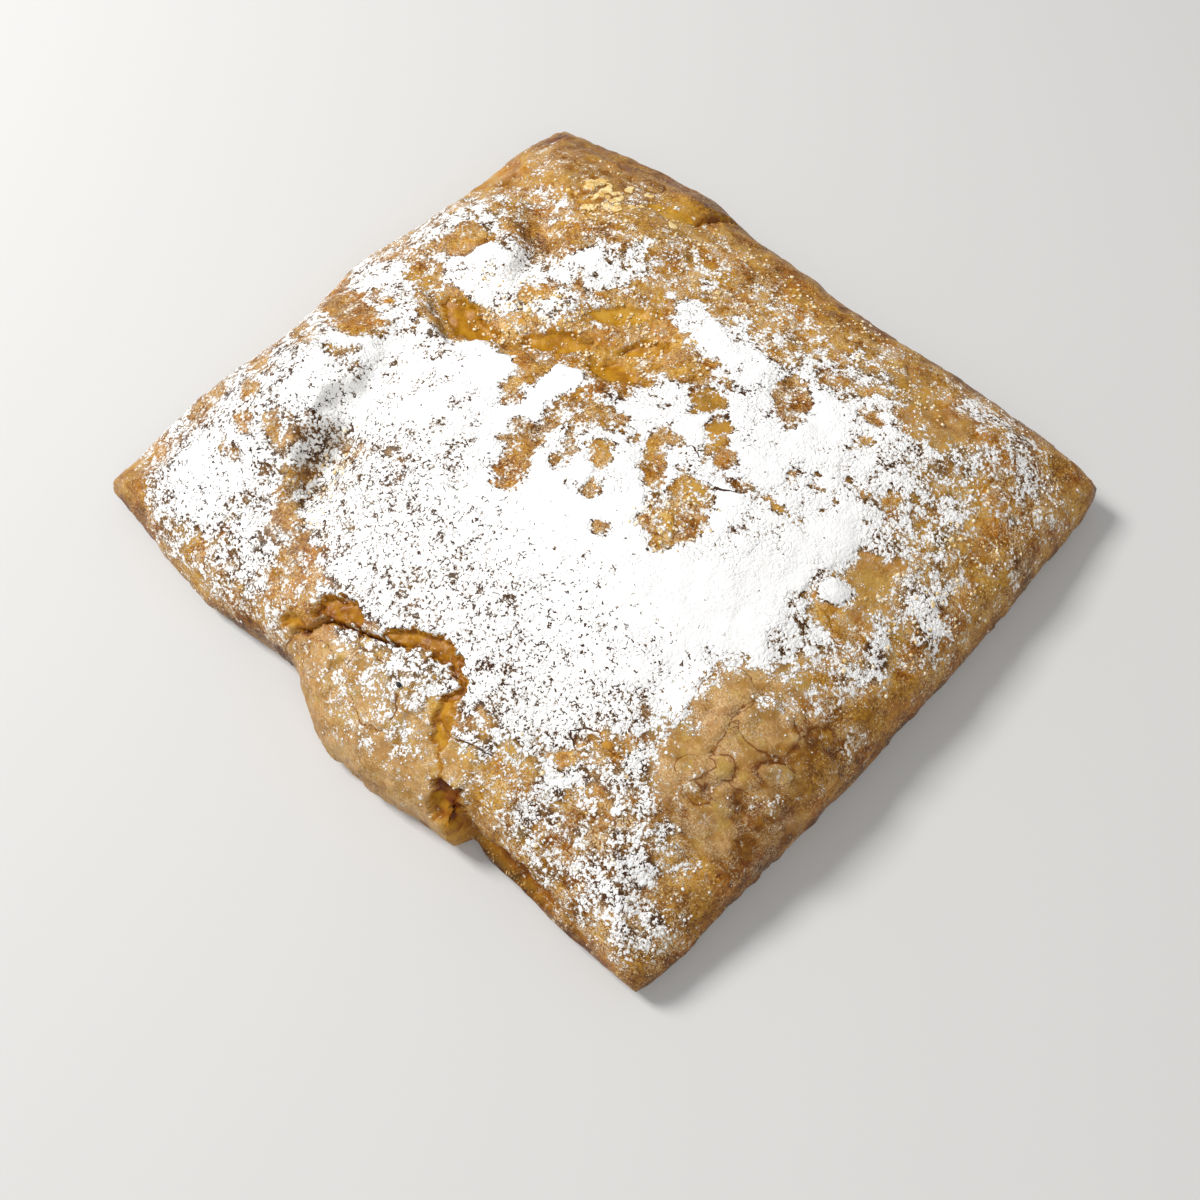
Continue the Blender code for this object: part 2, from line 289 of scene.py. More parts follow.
def leftSide(y):
    # A straight line with bell-shaped waves in it.
    waves = sum(out * wave(y, middle, reach) for middle, reach, out in packet["leftWaves"])
    return -packet["length"] / 2 + packet["leftIn"] - waves


def rightSide(y):
    # A flat arc: it falls away with the square of the distance from its middle.
    away = (y - packet["rightMiddle"]) / (packet["depth"] / 2)
    return packet["length"] / 2 - packet["rightCrown"] * away**2


def backSide(x):
    # A straight line with bell-shaped waves in it.
    waves = sum(out * wave(x, middle, reach) for middle, reach, out in packet["backWaves"])
    return packet["depth"] / 2 - packet["backIn"] + waves


def frontSide(x):
    # The shell rises smoothly, loses some of its reach towards its end, and steps back there.
    start, crest, sinks, end = packet["shell"]
    out = smooth(x, start, crest) * (1.0 - packet["shellLoss"] * smooth(x, sinks, end))
    out = out * (1.0 - smooth(x, end - 1.0, end + 1.0))
    low = -packet["depth"] / 2 + packet["shellOut"] * (1.0 - out)
    return low - sum(far * wave(x, middle, reach) for middle, reach, far in packet["frontWaves"])


def plan(across, along, inset):
    # A place between opposite sides, each drawn in by the inset, mixed by the share of the way over. The
    # corners are pulled in by a high power of both shares.
    x, y = packet["length"] / 2 * across, packet["depth"] / 2 * along
    lowX, highX = leftSide(y) + inset, rightSide(y) - inset
    lowY, highY = frontSide(x) + inset, backSide(x) - inset
    blunt = packet["flatCornerCut"] * 0.25 * (1.0 - across) * (1.0 + along)
    corner = 1.0 - (packet["cornerCut"] + blunt) * np.abs(across * along) ** packet["cornerSharpness"]
    x, y = lowX + (highX - lowX) * (across + 1) / 2, lowY + (highY - lowY) * (along + 1) / 2
    return x * corner, y * corner


def topHeight(x, y):
    # A shoulder lower at the corners and beside the shell, a middle that rises and levels off, bell-shaped
    # hills, and folds that fall by a smooth step and rise again by a power of e.
    halfLength, halfDepth = packet["length"] / 2, packet["depth"] / 2
    z = packet["cornerShoulder"]
    z = z + packet["sideShoulder"] * (1.0 - (np.abs(x) / halfLength * (np.abs(y) / halfDepth)) ** 2)
    z = z - packet["frontSink"] * smooth(-y, 30.0, 58.0) * smooth(np.abs(x - 10.0), 16.0, 40.0)
    inwards = np.minimum(halfLength - np.abs(x), halfDepth - np.abs(y)) - packet["edgeRoll"]
    z = z + packet["puff"] * (1.0 - np.exp(-np.clip(inwards, 0.0, None) / packet["puffReach"]))
    for *oval, rise in hills:
        along, across = ovalPlace(x, y, *oval)
        z = z + rise * np.exp(-(along**2) - across**2)
    wobbleX, wobbleY = wander(x, y, 1.2, 5.0, 31)
    for name, line in folds.items():
        fall, reach = foldForm[name]
        beside, (drop,) = besidePath(wobbleX, wobbleY, line)
        z = z - drop * smooth(beside, -0.5 * fall, fall) * np.exp(-np.clip(beside, 0.0, None) / reach)
        z = z + 0.22 * drop * wave(beside, -1.6, 2.2)   # a low swelling above the fall
    return z


sideFrom = 0.80   # the grid's share of the way out where the rolled side starts


def skinPoints(across, along):
    # The whole grid as one skin: inside sideFrom it is the top, and further out it rolls over the side
    # along an arc from the shoulder to the widest level and a quarter turn from there down to the foot.
    ring = np.maximum(np.abs(across), np.abs(along))
    outward = np.clip((ring - sideFrom) / (1.0 - sideFrom), 0.0, 1.0)
    scale = 1.0 / np.maximum(ring, sideFrom)
    turn = packet["shoulderTurn"] - outward * (packet["shoulderTurn"] + math.pi / 2)
    upper = (1.0 - np.cos(turn)) / (1.0 - math.cos(packet["shoulderTurn"])) * packet["edgeRoll"]
    inset = np.where(turn > 0.0, upper, packet["footRoll"] * (1.0 - np.cos(turn)))
    widest = packet["widestLevel"]
    rise = np.sin(turn) / math.sin(packet["shoulderTurn"])
    level = np.where(turn > 0.0, widest + (1.0 - widest) * rise, widest * (1.0 + np.sin(turn)))
    x, y = plan(across * scale, along * scale, inset)
    shoulderX, shoulderY = plan(across * scale, along * scale, packet["edgeRoll"])
    return x, y, topHeight(shoulderX, shoulderY) * level, level


# Where the sugar lies. Each row: x, y, half length, half width, turn, share covered, softness of the
# edge. Later rows lie over earlier ones.
dusting = (
    # the middle
    (10, -25, 40, 24.5, 0, 0.985, 2), (31, 19, 20, 24, 0, 0.975, 3), (9, 13, 10, 6.5, 0, 0.95, 1.5),
    (4, 32, 12.5, 5.6, -6, 0.93, 1.5), (-30, -14, 24, 14.5, 0, 0.985, 3), (-9, 4, 4.6, 4.6, 0, 0.98, 1.2),
    (42, -5, 16, 12, 0, 0.985, 2), (44, 9, 8, 14, 0, 0.985, 2), (43, 29, 9, 13, 0, 0.95, 3),
    (19, 11, 9, 11, 0, 0.96, 2), (-17, -33, 18, 15.5, -20, 0.97, 2), (35, -36, 17, 13, 0, 0.95, 2),
    (-21, -2.5, 10, 5, 0, 0.98, 1.5), (-10.5, 0, 3.6, 8.5, 0, 0.98, 1.2), (54, -4, 4, 6, 0, 0.95, 1.5),
    (14, 27, 6, 8, 0, 0.9, 2), (6, -39, 42, 10, 0, 0.92, 5), (-26, -20, 20, 16, -30, 0.94, 5),
    (20, 8, 22, 20, 20, 0.955, 5),
    # the left
    (-50, -24, 14, 13, 0, 0.985, 3), (-48, -49, 14, 13, -6, 0.96, 2), (-34, -54, 17, 8, -8, 0.66, 3),
    (-38, -60, 20, 6, 0, 0.72, 3), (-60, -50, 9, 10, 0, 0.75, 3), (-60, -22, 11, 12, 0, 0.85, 3),
    (-44, -40, 12, 6, -30, 0.93, 2), (-48, -49, 9, 9, 0, 0.97, 2), (-29, 17, 8, 9, 0, 0.93, 2),
    (-55, -5, 14, 7, 0, 0.9, 3), (-50, 8, 12, 8, 0, 0.82, 3), (-64, 10, 8, 11, 0, 0.74, 3),
    (-57, -32, 10, 8, -30, 0.9, 2), (-58, 20, 11, 12, 0, 0.78, 3), (-41, 16, 11, 8.5, -22, 0.95, 2),
    (-37, 22, 6, 7, -40, 0.91, 2), (-25, 28.5, 7, 10, -25, 0.93, 1.5), (-60, 2.6, 14, 3.8, 2, 0.96, 1.5),
    (-17.4, 42, 1.2, 6, 15, 0.6, 1), (-66, -34, 8, 17, 0, 0.72, 3), (-66, -52, 6, 5, 0, 0.45, 2),
    (-44, 37, 8, 4, 15, 0.3, 3), (-30, 38, 8, 4, 10, 0.35, 3),
    # the right
    (61.5, -3, 4.8, 9.5, -8, 0.66, 2), (65, 14, 5.2, 10, 0, 0.66, 2), (69, 15, 3, 9, 0, 0.42, 2),
    (53, 30, 9, 12, 0, 0.66, 4), (47, 36, 7, 8, 0, 0.85, 3), (54, 51, 14, 8, -30, 0.45, 4),
    (68, 35, 6, 26, 0, 0.22, 4), (54, -50, 18, 13.5, -12, 0.62, 4), (46, -37, 7, 6, 0, 0.75, 3),
    (42, -57.5, 6, 3, 0, 0.65, 2), (65, -52, 6, 10, 0, 0.5, 3),
    # the front and the shell
    (9.5, -51, 9, 6.5, -10, 0.74, 2.5), (0, -54.5, 5.5, 3.4, 0, 0.6, 2), (30, -53, 8, 4, 0, 0.5, 3),
    (42, -53, 8, 4, 0, 0.5, 3), (-19, -58, 5, 4, 0, 0.4, 2), (6, -61, 14, 4, 0, 0.2, 3),
    (32, -50, 6, 2, 0, 0.6, 2),
    # the back's edge
    (-9, 41.5, 3.6, 4, 0, 0.62, 2), (-8, 49, 4.5, 3, 0, 0.5, 2), (1, 41.5, 7, 2.2, 0, 0.5, 2),
    (12, 42, 4.6, 3.6, 0, 0.62, 2), (22, 39, 6, 3.6, 0, 0.75, 2), (28, 46, 4.5, 7, 0, 0.42, 3),
    (36, 41.5, 6, 3.8, 0, 0.82, 2), (44, 40, 5, 2.6, 0, 0.4, 2), (0, 46, 40, 6, 0, 0.2, 6),
    (3, 47, 4, 3, 0, 0.45, 2), (-35, 54.5, 2.4, 1.2, -45, 0.7, 1), (38, 57, 4, 2.5, -60, 0.35, 2),
    (-3, 36.5, 6, 1.4, 0, 0.35, 1),
    # all round
    (53, 54, 7, 5, -20, 0.66, 3), (56, 44, 9, 5, 0, 0.6, 3), (28, 44, 5, 4, 0, 0.62, 2),
    (-12, 44, 4, 5, 0, 0.46, 2), (-20, 36, 5, 4, 0, 0.68, 2), (-44, 36, 5, 3, 0, 0.5, 2),
    (-20, 20, 4, 4, 20, 0.72, 1.5), (60, 19, 5, 5, 0, 0.62, 2), (53, 8, 4, 9, 0, 0.5, 2),
    (61, 11, 4, 5, 0, 0.55, 2), (60, -12, 4, 4, 0, 0.5, 2), (53, -4, 5, 6, 0, 0.9, 2),
    (52, -31, 4, 7, 0, 0.34, 2), (44, -36, 5, 4, 0, 0.8, 2), (44, -45, 6, 5, 0, 0.76, 2),
    (38, -46, 5, 5, 0, 0.86, 2), (-36, -44, 7, 5, 0, 0.86, 2), (-34, -54, 6, 5, 0, 0.88, 2),
    (-27, -52, 6, 4, -40, 0.72, 2), (-60, -29, 6, 4, 0, 0.75, 2), (8, -60, 12, 3.6, 0, 0.46, 2),
    (-18, -56, 5, 6, 0, 0.5, 2), (-2, -52, 7, 3, 0, 0.6, 1.5), (68, -50, 4, 6, 0, 0.4, 2),
    (-39.6, -22, 2.6, 9, 14, 0.9, 1.5),
    # bare patches
    (-6, 18, 9, 9.5, 0, 0.12, 2), (-15, 14, 6, 5, 30, 0.14, 2), (-15, 63, 50, 6, 0, 0.04, 3),
    (-44, 54, 14, 6, -5, 0.05, 3), (-22, 50, 16, 7, 0, 0.12, 3), (71, 0, 3.5, 14, 0, 0.1, 2),
    (-12, 33, 3.4, 9, 4, 0.2, 2), (4.5, 23, 6.5, 3.6, -12, 0.09, 2), (13, 19.5, 2.6, 3.8, 0, 0.07, 1),
    (12, 25, 3.2, 1.2, 0, 0.45, 1), (-37, 3.4, 11, 4.2, 3, 0.28, 1.2), (-24, 8.5, 10, 5, 24, 0.26, 1.2),
    (-46, 5.5, 6, 2.4, -8, 0.34, 1.5), (-16, 1.5, 3, 6.5, 18, 0.06, 1),
    (-25.6, 3.2, 3.2, 1.1, -24, 0.93, 0.8), (-9, 4, 3.8, 3.8, 0, 0.98, 1), (-2.5, 4, 4, 3, 0, 0.17, 1),
    (-5, -1, 1.6, 4, 5, 0.16, 1), (-6, -10.5, 3.4, 5.6, 8, 0.15, 1), (-2, -15, 3.2, 2, 0, 0.2, 1),
    (-2.5, -18.3, 1.6, 1, 0, 0.2, 0.8), (-1.5, -6.5, 1.8, 3, 10, 0.9, 1), (2.4, 3.6, 4, 2.4, 0, 0.25, 1),
    (6, -3, 2.4, 2.2, 0, 0.2, 1), (1.6, -6, 1.2, 3.4, 15, 0.25, 1), (10.5, -8.8, 2.3, 1.9, 0, 0.14, 0.8),
    (9.2, 4, 1.5, 2.2, 0, 0.3, 0.8), (6.5, -10.5, 1.2, 1, 0, 0.35, 0.7), (15.5, -14, 1.9, 1.2, 0, 0.2, 0.8),
    (14.2, 4.5, 2.2, 5.2, 14, 0.15, 0.9), (17.5, -1, 3.4, 2, -20, 0.17, 0.9), (24, 1.6, 4, 3.2, 0, 0.17, 1),
    (25, -5, 4.4, 5, -10, 0.15, 1.2), (20.5, -4.5, 2.4, 2, 0, 0.18, 0.9), (28.6, -3.8, 1.8, 2, 0, 0.2, 0.8),
    (22, -8.6, 2.6, 1.5, 0, 0.2, 0.8), (24.5, -8, 2, 1.4, 0, 0.6, 0.8), (19.3, 14, 1.9, 4.6, 18, 0.15, 0.9),
    (22.6, 11.6, 3, 1.2, -15, 0.15, 0.8), (27.5, 8.6, 3, 1.4, 25, 0.35, 0.8),
    (34.5, 9.4, 4.4, 1.2, 5, 0.35, 0.8), (34, 15, 1.1, 2.8, 0, 0.35, 0.8), (41, 17, 1, 1.8, 0, 0.4, 0.8),
    (37, 18.5, 0.9, 1.4, 0, 0.4, 0.7), (22.8, 30, 3.6, 4.2, 10, 0.15, 1),
    (26.4, 26.6, 2, 1.6, 0, 0.15, 0.8), (35, 36, 2.2, 1.6, 0, 0.15, 0.8), (38, 31, 1.4, 1, 0, 0.4, 0.7),
    (43, 23, 1.4, 1, 0, 0.35, 0.7), (50, 24, 2.4, 2.4, 0, 0.35, 1), (-50, 18.4, 4.2, 5.6, -12, 0.05, 1.2),
    (-46.5, 21.6, 3.4, 1.8, 15, 0.08, 1), (-54, 8.5, 4.5, 1.5, -30, 0.3, 1),
    (-29, 17.2, 2.5, 3.6, -28, 0.1, 0.9), (-22, 22.3, 3.4, 1.1, -38, 0.2, 0.8),
    (-26, 21.4, 3, 0.8, 0, 0.3, 0.8), (-40, 30, 9, 4.6, -22, 0.22, 2.5), (-55, 29, 6, 2.2, -38, 0.3, 1.5),
    (-55, -8.4, 10, 4.4, -12, 0.08, 1.5), (-62, -16, 7, 1.6, -22, 0.3, 1.5),
    (-52, -2.6, 4, 1.2, -15, 0.25, 1), (-62, -26.5, 5.5, 2.6, -22, 0.12, 1),
    (-63, -21.5, 3, 1.3, -10, 0.15, 1), (-55, -33.4, 3.4, 1.9, -30, 0.1, 1),
    (-64, -38.5, 3.6, 6, 0, 0.2, 2), (-63, -52, 4, 2.4, 0, 0.4, 1.5), (-69, -60, 12, 5, -6, 0.04, 2),
    (-42, -37, 3.4, 2.2, -10, 0.2, 1), (-48.4, -38.6, 3.2, 1.2, -10, 0.25, 1),
    (-37, -35.5, 2.6, 4, -20, 0.72, 1.5), (-33.2, -40.4, 2.0, 4, 25, 0.4, 1.2),
    (-32, -30, 4, 2.6, -10, 0.5, 1.2), (-35.5, -28, 2, 2, 0, 0.5, 1), (-44.5, -18, 2.4, 1.6, 0, 0.5, 1.5),
    (-49.5, -44, 3, 1, -10, 0.4, 1), (-29, -47, 6, 1.9, -40, 0.10, 1.2),
    (-21.5, -53.6, 8.5, 2.2, -42, 0.16, 1.2), (-13, -56.5, 4.5, 3.4, 0, 0.14, 1.5),
    (18.8, -53, 1.4, 3.4, 8, 0.15, 1), (-2, -49.3, 12, 2.2, 15, 0.94, 1.2), (27, -57, 5, 2, 0, 0.15, 2),
    (54.5, 9.5, 4.6, 9.0, -14, 0.07, 1.5), (56, 4, 4, 4, 0, 0.1, 1.5), (52.6, 6, 3.8, 3.3, 8, 0.99, 0.8),
    (61, -26, 13.6, 15.4, 0, 0.03, 1.2), (57, -13.5, 3, 3.6, 20, 0.4, 1.5),
    (40, -43.6, 1.2, 4, -28, 0.14, 1), (44, -38.2, 3.2, 1.2, 22, 0.08, 0.8),
    (47.5, -48, 6, 1.6, 25, 0.2, 1.2), (44, 47, 8, 3.4, -20, 0.06, 2), (60, 44, 6, 3, 0, 0.12, 2),
    (70, -35, 6, 34, 0, 0.05, 3),
)

# Each row: x, y, half length, half width, turn, how orange the bared inner leaves are, softness.
inside = (
    (-35, 3, 7, 3.4, 0, 0.12, 2), (-20, 9.5, 7, 3.0, 25, 0.10, 2), (-8, 14, 5, 4, 20, 0.12, 2.5),
    (24, 2, 3, 1.7, 0, 0.7, 1), (13, 18, 3, 4, 0, 0.5, 2), (19, 14, 2, 4, 15, 0.5, 1),
    (-22, 52, 8, 4, -40, 0.35, 3), (36, 48, 7, 4, 0, 0.4, 3), (-28.2, 9.4, 4, 2.8, 10, 0.0, 1),
)

# Each row: x, y, half length, half width, turn, how much more or less sugar fell there, softness.
nudges = (
    (-14, 61.5, 60, 6, 0, -2.4, 2), (-64, 27, 9, 6, 0, -1.0, 4), (-64, 10, 8, 14, 0, -1.2, 5),
    (-52, 20, 5, 3, 0, 0.7, 2), (-44, 36, 5, 4, 0, 1.1, 3), (-36, 28, 5, 4, 0, -0.8, 3),
    (-20, 38, 5, 7, 0, 0.9, 3), (-44, 4, 5, 3, 0, 1.0, 2), (-25, 4, 8, 3.5, 0, -0.9, 2),
    (-68, -4, 6, 5, 0, -1.0, 3), (-4, 4, 4, 4, 0, 0.7, 2), (4, 4, 4, 4, 0, -0.8, 2),
    (4, 28, 5, 4, 0, 1.4, 3), (28, 28, 5, 4, 0, 0.8, 3), (12, 36, 5, 3, 0, 0.6, 2),
    (20, 36, 5, 3, 0, -0.5, 2), (25, -3, 7, 5, 0, 1.1, 3), (28, 4, 5, 4, 0, 0.8, 2),
    (60, -4, 4, 5, 0, -1.0, 2), (69, -3, 5, 7, 0, -1.3, 3), (60, -12, 4, 4, 0, 1.1, 2),
    (68, 12, 4, 5, 0, 1.0, 3), (-60, -28, 5, 4, 0, 1.1, 3), (-67, -44, 6, 5, 0, 0.9, 3),
    (-28, -52, 5, 4, 0, 0.8, 2), (-37, -60, 6, 4, 0, -1.3, 3), (-20, -60, 5, 4, 0, 0.8, 3),
    (-8, -61, 9, 4, 0, -1.0, 3), (12, -60, 5, 4, 0, 0.9, 3), (28, -61, 5, 4, 0, 0.9, 3),
    (56, -60, 9, 4, 0, -0.9, 3), (44, -52, 5, 4, 0, 0.9, 3), (68, -52, 4, 5, 0, 1.6, 3),
    (53, -33, 5, 7, 0, 1.0, 3), (51.2, -28.4, 1.6, 1.6, 0, 2.6, 1), (55.4, -17.4, 2.4, 1.4, 20, 3.0, 1),
    (70.0, -9.4, 2.4, 3.0, 0, 2.4, 1.5), (66.5, -27.6, 3.6, 1.6, 60, 2.0, 1), (-20, -2, 6, 4, 0, 0.6, 3),
    (-50, 62, 26, 6, 0, -1.2, 3), (-68, -4, 5, 6, 0, -0.8, 3), (28, 36, 6, 5, 0, -0.9, 3),
    (-28, -36, 6, 5, 0, -0.9, 3), (-20, -28, 5, 4, 0, -0.8, 3), (-4, 4, 5, 4, 0, -0.5, 3),
    (60, 12, 5, 5, 0, -0.5, 3), (12, 53, 12, 4.5, 0, -1.8, 3), (-63, 60, 9, 5, 0, -1.4, 3),
    (-5, 60, 6, 4, 0, -1.2, 3), (67, 60, 5, 5, 0, -1.6, 3), (-66, 44, 5, 6, 0, -1.2, 3),
    (60, 36, 5, 5, 0, -0.8, 3), (66, 28, 6, 6, 0, -0.8, 3), (-52, 11, 5, 5, 0, -0.9, 3),
    (-51, 4, 5, 4, 0, -0.9, 3), (-36, -4, 5, 4, 0, -1.1, 3), (-68, -52, 5, 5, 0, -0.8, 3),
    (52, -52, 5, 4, 0, -1.0, 3), (-36, -60, 6, 4, 0, -0.9, 3), (-28, 12, 5, 4, 0, -0.6, 3),
    (4, 12, 4, 4, 0, -0.7, 3), (12, 28, 5, 4, 0, 0.9, 3), (-62, 36, 9, 5, 0, -1.2, 3),
    (-36, 36, 5, 4, 0, -0.9, 3), (-24, 4, 9, 4, 0, -0.9, 2), (-8, 12, 7, 4, 0, -0.9, 2),
    (-4, 3, 4, 4, 0, 0.6, 2), (4, 28, 4, 4, 0, 0.8, 2), (-52, 20, 4, 4, 0, 0.6, 2),
    (36, -60, 4, 4, 0, -0.9, 2), (44, -60, 4, 4, 0, 0.8, 2), (-12, 52, 5, 4, 0, 0.8, 3),
    (44, 60, 6, 5, 0, -1.0, 3), (56, 44, 8, 4, 0, 0.7, 3), (52, 36, 5, 4, 0, -1.2, 3),
    (-28, -28, 5, 4, 0, -0.9, 3), (-36, -36, 4, 4, 0, 0.7, 2), (-60, -44, 5, 5, 0, -1.0, 3),
    (-20, -44, 5, 4, 0, -0.7, 3), (52, -44, 5, 4, 0, -0.6, 3), (37, -44, 4, 4, 0, 0.6, 2),
    (52, -15, 5, 8, 0, -0.7, 3), (-64, 4, 8, 4, 0, -0.8, 3), (-60, 18, 5, 5, 0, 0.5, 3),
    (-42, 44, 8, 4, 0, -0.8, 3), (-28, 44, 5, 4, 0, -1.0, 3),
)


sugarEdge = {
    "far": 1.3, "size": 4.4,            # how far the regions' edges wander, in millimetres, in broad waves
    "fineFar": 0.8, "fineSize": 1.5,    # and in fine ones
    "rest": 0.12,                       # the share covered outside every region
    "least": 0.04, "most": 0.99,
    "swing": 1.45, "swingSize": 2.4,    # how far clusters move the share along the logistic curve
    "broadSwing": 0.6, "broadSize": 9.0,
    "clear": 0.97,                      # how much of the burst is kept clear
    "lowest": 0.10,                     # what is left of the cover at the foot
}


def shifted(share, more):
    # A share moved up or down a logistic curve, so that it never passes 0 or 1.
    return 1.0 / (1.0 + (1.0 / share - 1.0) * np.exp(-more))


def sugarCover(x, y, level):
    # The dusting, with wandering edges and a share that varies in clusters, left off the burst and the
    # lower sides. The left hill's side is steep, so more hangs on there and it varies less.
    far, size, fineFar, fineSize = (sugarEdge[key] for key in ("far", "size", "fineFar", "fineSize"))
    driftX = x + far * flatCloud(x, y, size, 2, 41) + fineFar * flatCloud(x, y, fineSize, 3, 42)
    driftY = y + far * flatCloud(x, y, size, 2, 43) + fineFar * flatCloud(x, y, fineSize, 3, 44)
    cover = layUp(driftX, driftY, sugarEdge["rest"], dusting, 0.95)
    cover = np.clip(cover, sugarEdge["least"], sugarEdge["most"])
    left = smooth(-x, 40.0, 58.0) * smooth(-y, -30.0, 0.0)
    for *oval, more, soft in nudges:
        cover = shifted(cover, more * smooth(ovalDistance(x, y, *oval), -0.7 * soft, 0.7 * soft))
    swing = (sugarEdge["swing"] - 0.9 * left) * flatCloud(x, y, sugarEdge["swingSize"], 3, 45)
    swing = swing + sugarEdge["broadSwing"] * flatCloud(x, y, sugarEdge["broadSize"], 2, 46)
    cover = shifted(cover, swing * (0.6 + 2.4 * cover * (1.0 - cover)))
    slot, hollow = openings(x, y)[:2]
    cover = cover * (1.0 - sugarEdge["clear"] * np.maximum(slot, hollow))
    high = smooth(level, 0.30 - 0.15 * left, 0.95 - 0.20 * left)
    return cover * (sugarEdge["lowest"] + (1.0 - sugarEdge["lowest"]) * high)


def makeMesh(name, points, faces, finish, attributes=None, places=None):
    # Points in millimetres and a list of face tables, three or four wide, become one smooth mesh piece.
    # Values at each point become attributes, and places on the flat map become its layer.
    mesh = bpy.data.meshes.new(name)
    tables = [np.asarray(table, np.int64) for table in faces if len(table)]
    corners = np.concatenate([table.ravel() for table in tables])
    sizes = np.concatenate([np.full(len(table), table.shape[1]) for table in tables])
    mesh.vertices.add(len(points))
    mesh.vertices.foreach_set("co", (np.asarray(points) * millimetre).astype(np.float32).ravel())
    mesh.loops.add(len(corners))
    mesh.loops.foreach_set("vertex_index", corners.astype(np.int32))
    mesh.polygons.add(len(sizes))
    mesh.polygons.foreach_set("loop_start", np.concatenate(([0], np.cumsum(sizes)[:-1])).astype(np.int32))
    mesh.polygons.foreach_set("use_smooth", np.ones(len(sizes), bool))
    mesh.update(calc_edges=True)
    for key, value in (attributes or {}).items():
        attribute = mesh.attributes.new(key, "FLOAT", "POINT")
        attribute.data.foreach_set("value", value.astype(np.float32).ravel())
    if places is not None:
        flatMap = mesh.uv_layers.new(name="OFBake")
        flatMap.data.foreach_set("uv", np.asarray(places)[corners].astype(np.float32).ravel())
    mesh.validate()
    mesh.materials.append(finish)
    piece = bpy.data.objects.new(name, mesh)
    bpy.context.collection.objects.link(piece)
    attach(piece, "root")
    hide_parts("pastry_packet")
    print(f"{name}: {int((sizes - 2).sum())} triangles")
    return piece


def gridNormals(points):
    # The cross product of a grid's two central differences, scaled to one.
    normal = np.cross(np.gradient(points, axis=1), np.gradient(points, axis=0))
    return normal / np.maximum(np.linalg.norm(normal, axis=2, keepdims=True), 1e-9)


def gridFaces(rows, columns, start=0):
    # Each cell of a grid of points, row after row, as four corners that turn to the left.
    index = start + np.arange(rows * columns).reshape(rows, columns)
    return np.stack([index[:-1, :-1], index[:-1, 1:], index[1:, 1:], index[1:, :-1]], axis=2).reshape(-1, 4)


def loopFaces(rings):
    # Quads between each closed loop of point numbers and the next one inside it.
    following = np.roll(rings, -1, axis=1)
    return np.stack([rings[:-1], rings[1:], following[1:], following[:-1]], axis=2).reshape(-1, 4)


def packedShares(count, middle, reach, gain):
    # Shares from -1 to 1 that stand closer together near the middle: a density with a bell curve in it is
    # summed up and turned round.
    fine = np.linspace(-1.0, 1.0, 4001)
    density = 1.0 + gain * wave(fine, middle, reach)
    total = np.concatenate(([0.0], np.cumsum((density[1:] + density[:-1]) / 2)))
    return np.interp(np.linspace(0.0, total[-1], count + 1), total, fine)


flatParts = {   # parts of the flat map: their size and middle, as shares of it
    "skin": ((0.994, 0.797), (0.5, 0.4015)),
    "below": ((0.18, 0.17), (0.10, 0.905)),
}


def flatPlaces(across, along, part):
    # Places on the flat map: shares from -1 to 1 stretched over one part of it.
    size, middle = flatParts[part]
    return np.stack([across.ravel(), along.ravel()], axis=1) / 2 * size + middle


crust = {
    # How many, and the share from -1 to 1 round which they are packed closer, its reach and gain.
    "columns": (318, 0.10, 0.30, 0.9),
    "rows": (290, -0.72, 0.13, 1.6),
    "swell": 0.42,           # soft waves, in millimetres
    "swellSize": 13.0,
    "wrinkle": 0.17,
    "wrinkleSize": 3.6,
    "blister": 0.34,         # the domes of the bubbled skin
    "blisterSize": 4.2,
    "plate": 0.30,           # how much higher one plate of skin lies than another
    "peel": 0.20,            # the step at the edge of a leaf that has flaked off
    "lowerSide": 0.8,        # how far the shell lies below the crack's other lip
    "crackDepth": 0.25,      # of a fine crack, and how high the skin curls beside it
    "crackCurl": 0.12,
    "slitLip": 0.5,          # how far the leaf below the slit stands out
    "footDepth": 0.35,       # how far the underside's middle stands clear
    "underRings": 22,
    "underThinning": 5,      # one point of the underside's rings to this many of the outline
    "roughness": 0.42,
    "innerRoughness": 0.32,
    "gloss": 0.2,
}

# Each row: x, y, half length, half width, turn, how strongly the skin has bubbled, softness.
blistered = (
    (60, -25, 17, 16, 0, 1.0, 5), (8, -62, 26, 8, 0, 0.8, 4), (-54, 54, 24, 14, 0, 0.6, 6),
    (10, 56, 60, 9, 0, 0.35, 5), (-68, -58, 10, 6, 0, 0.6, 4), (70, 20, 8, 45, 0, 0.3, 4),
    (56, 12, 8, 9, 0, 0.6, 4), (-57, -20, 14, 24, 0, 0.4, 6), (45, 44, 12, 8, 0, 0.6, 5),
    (-62, 34, 10, 14, 0, 0.5, 5),
)

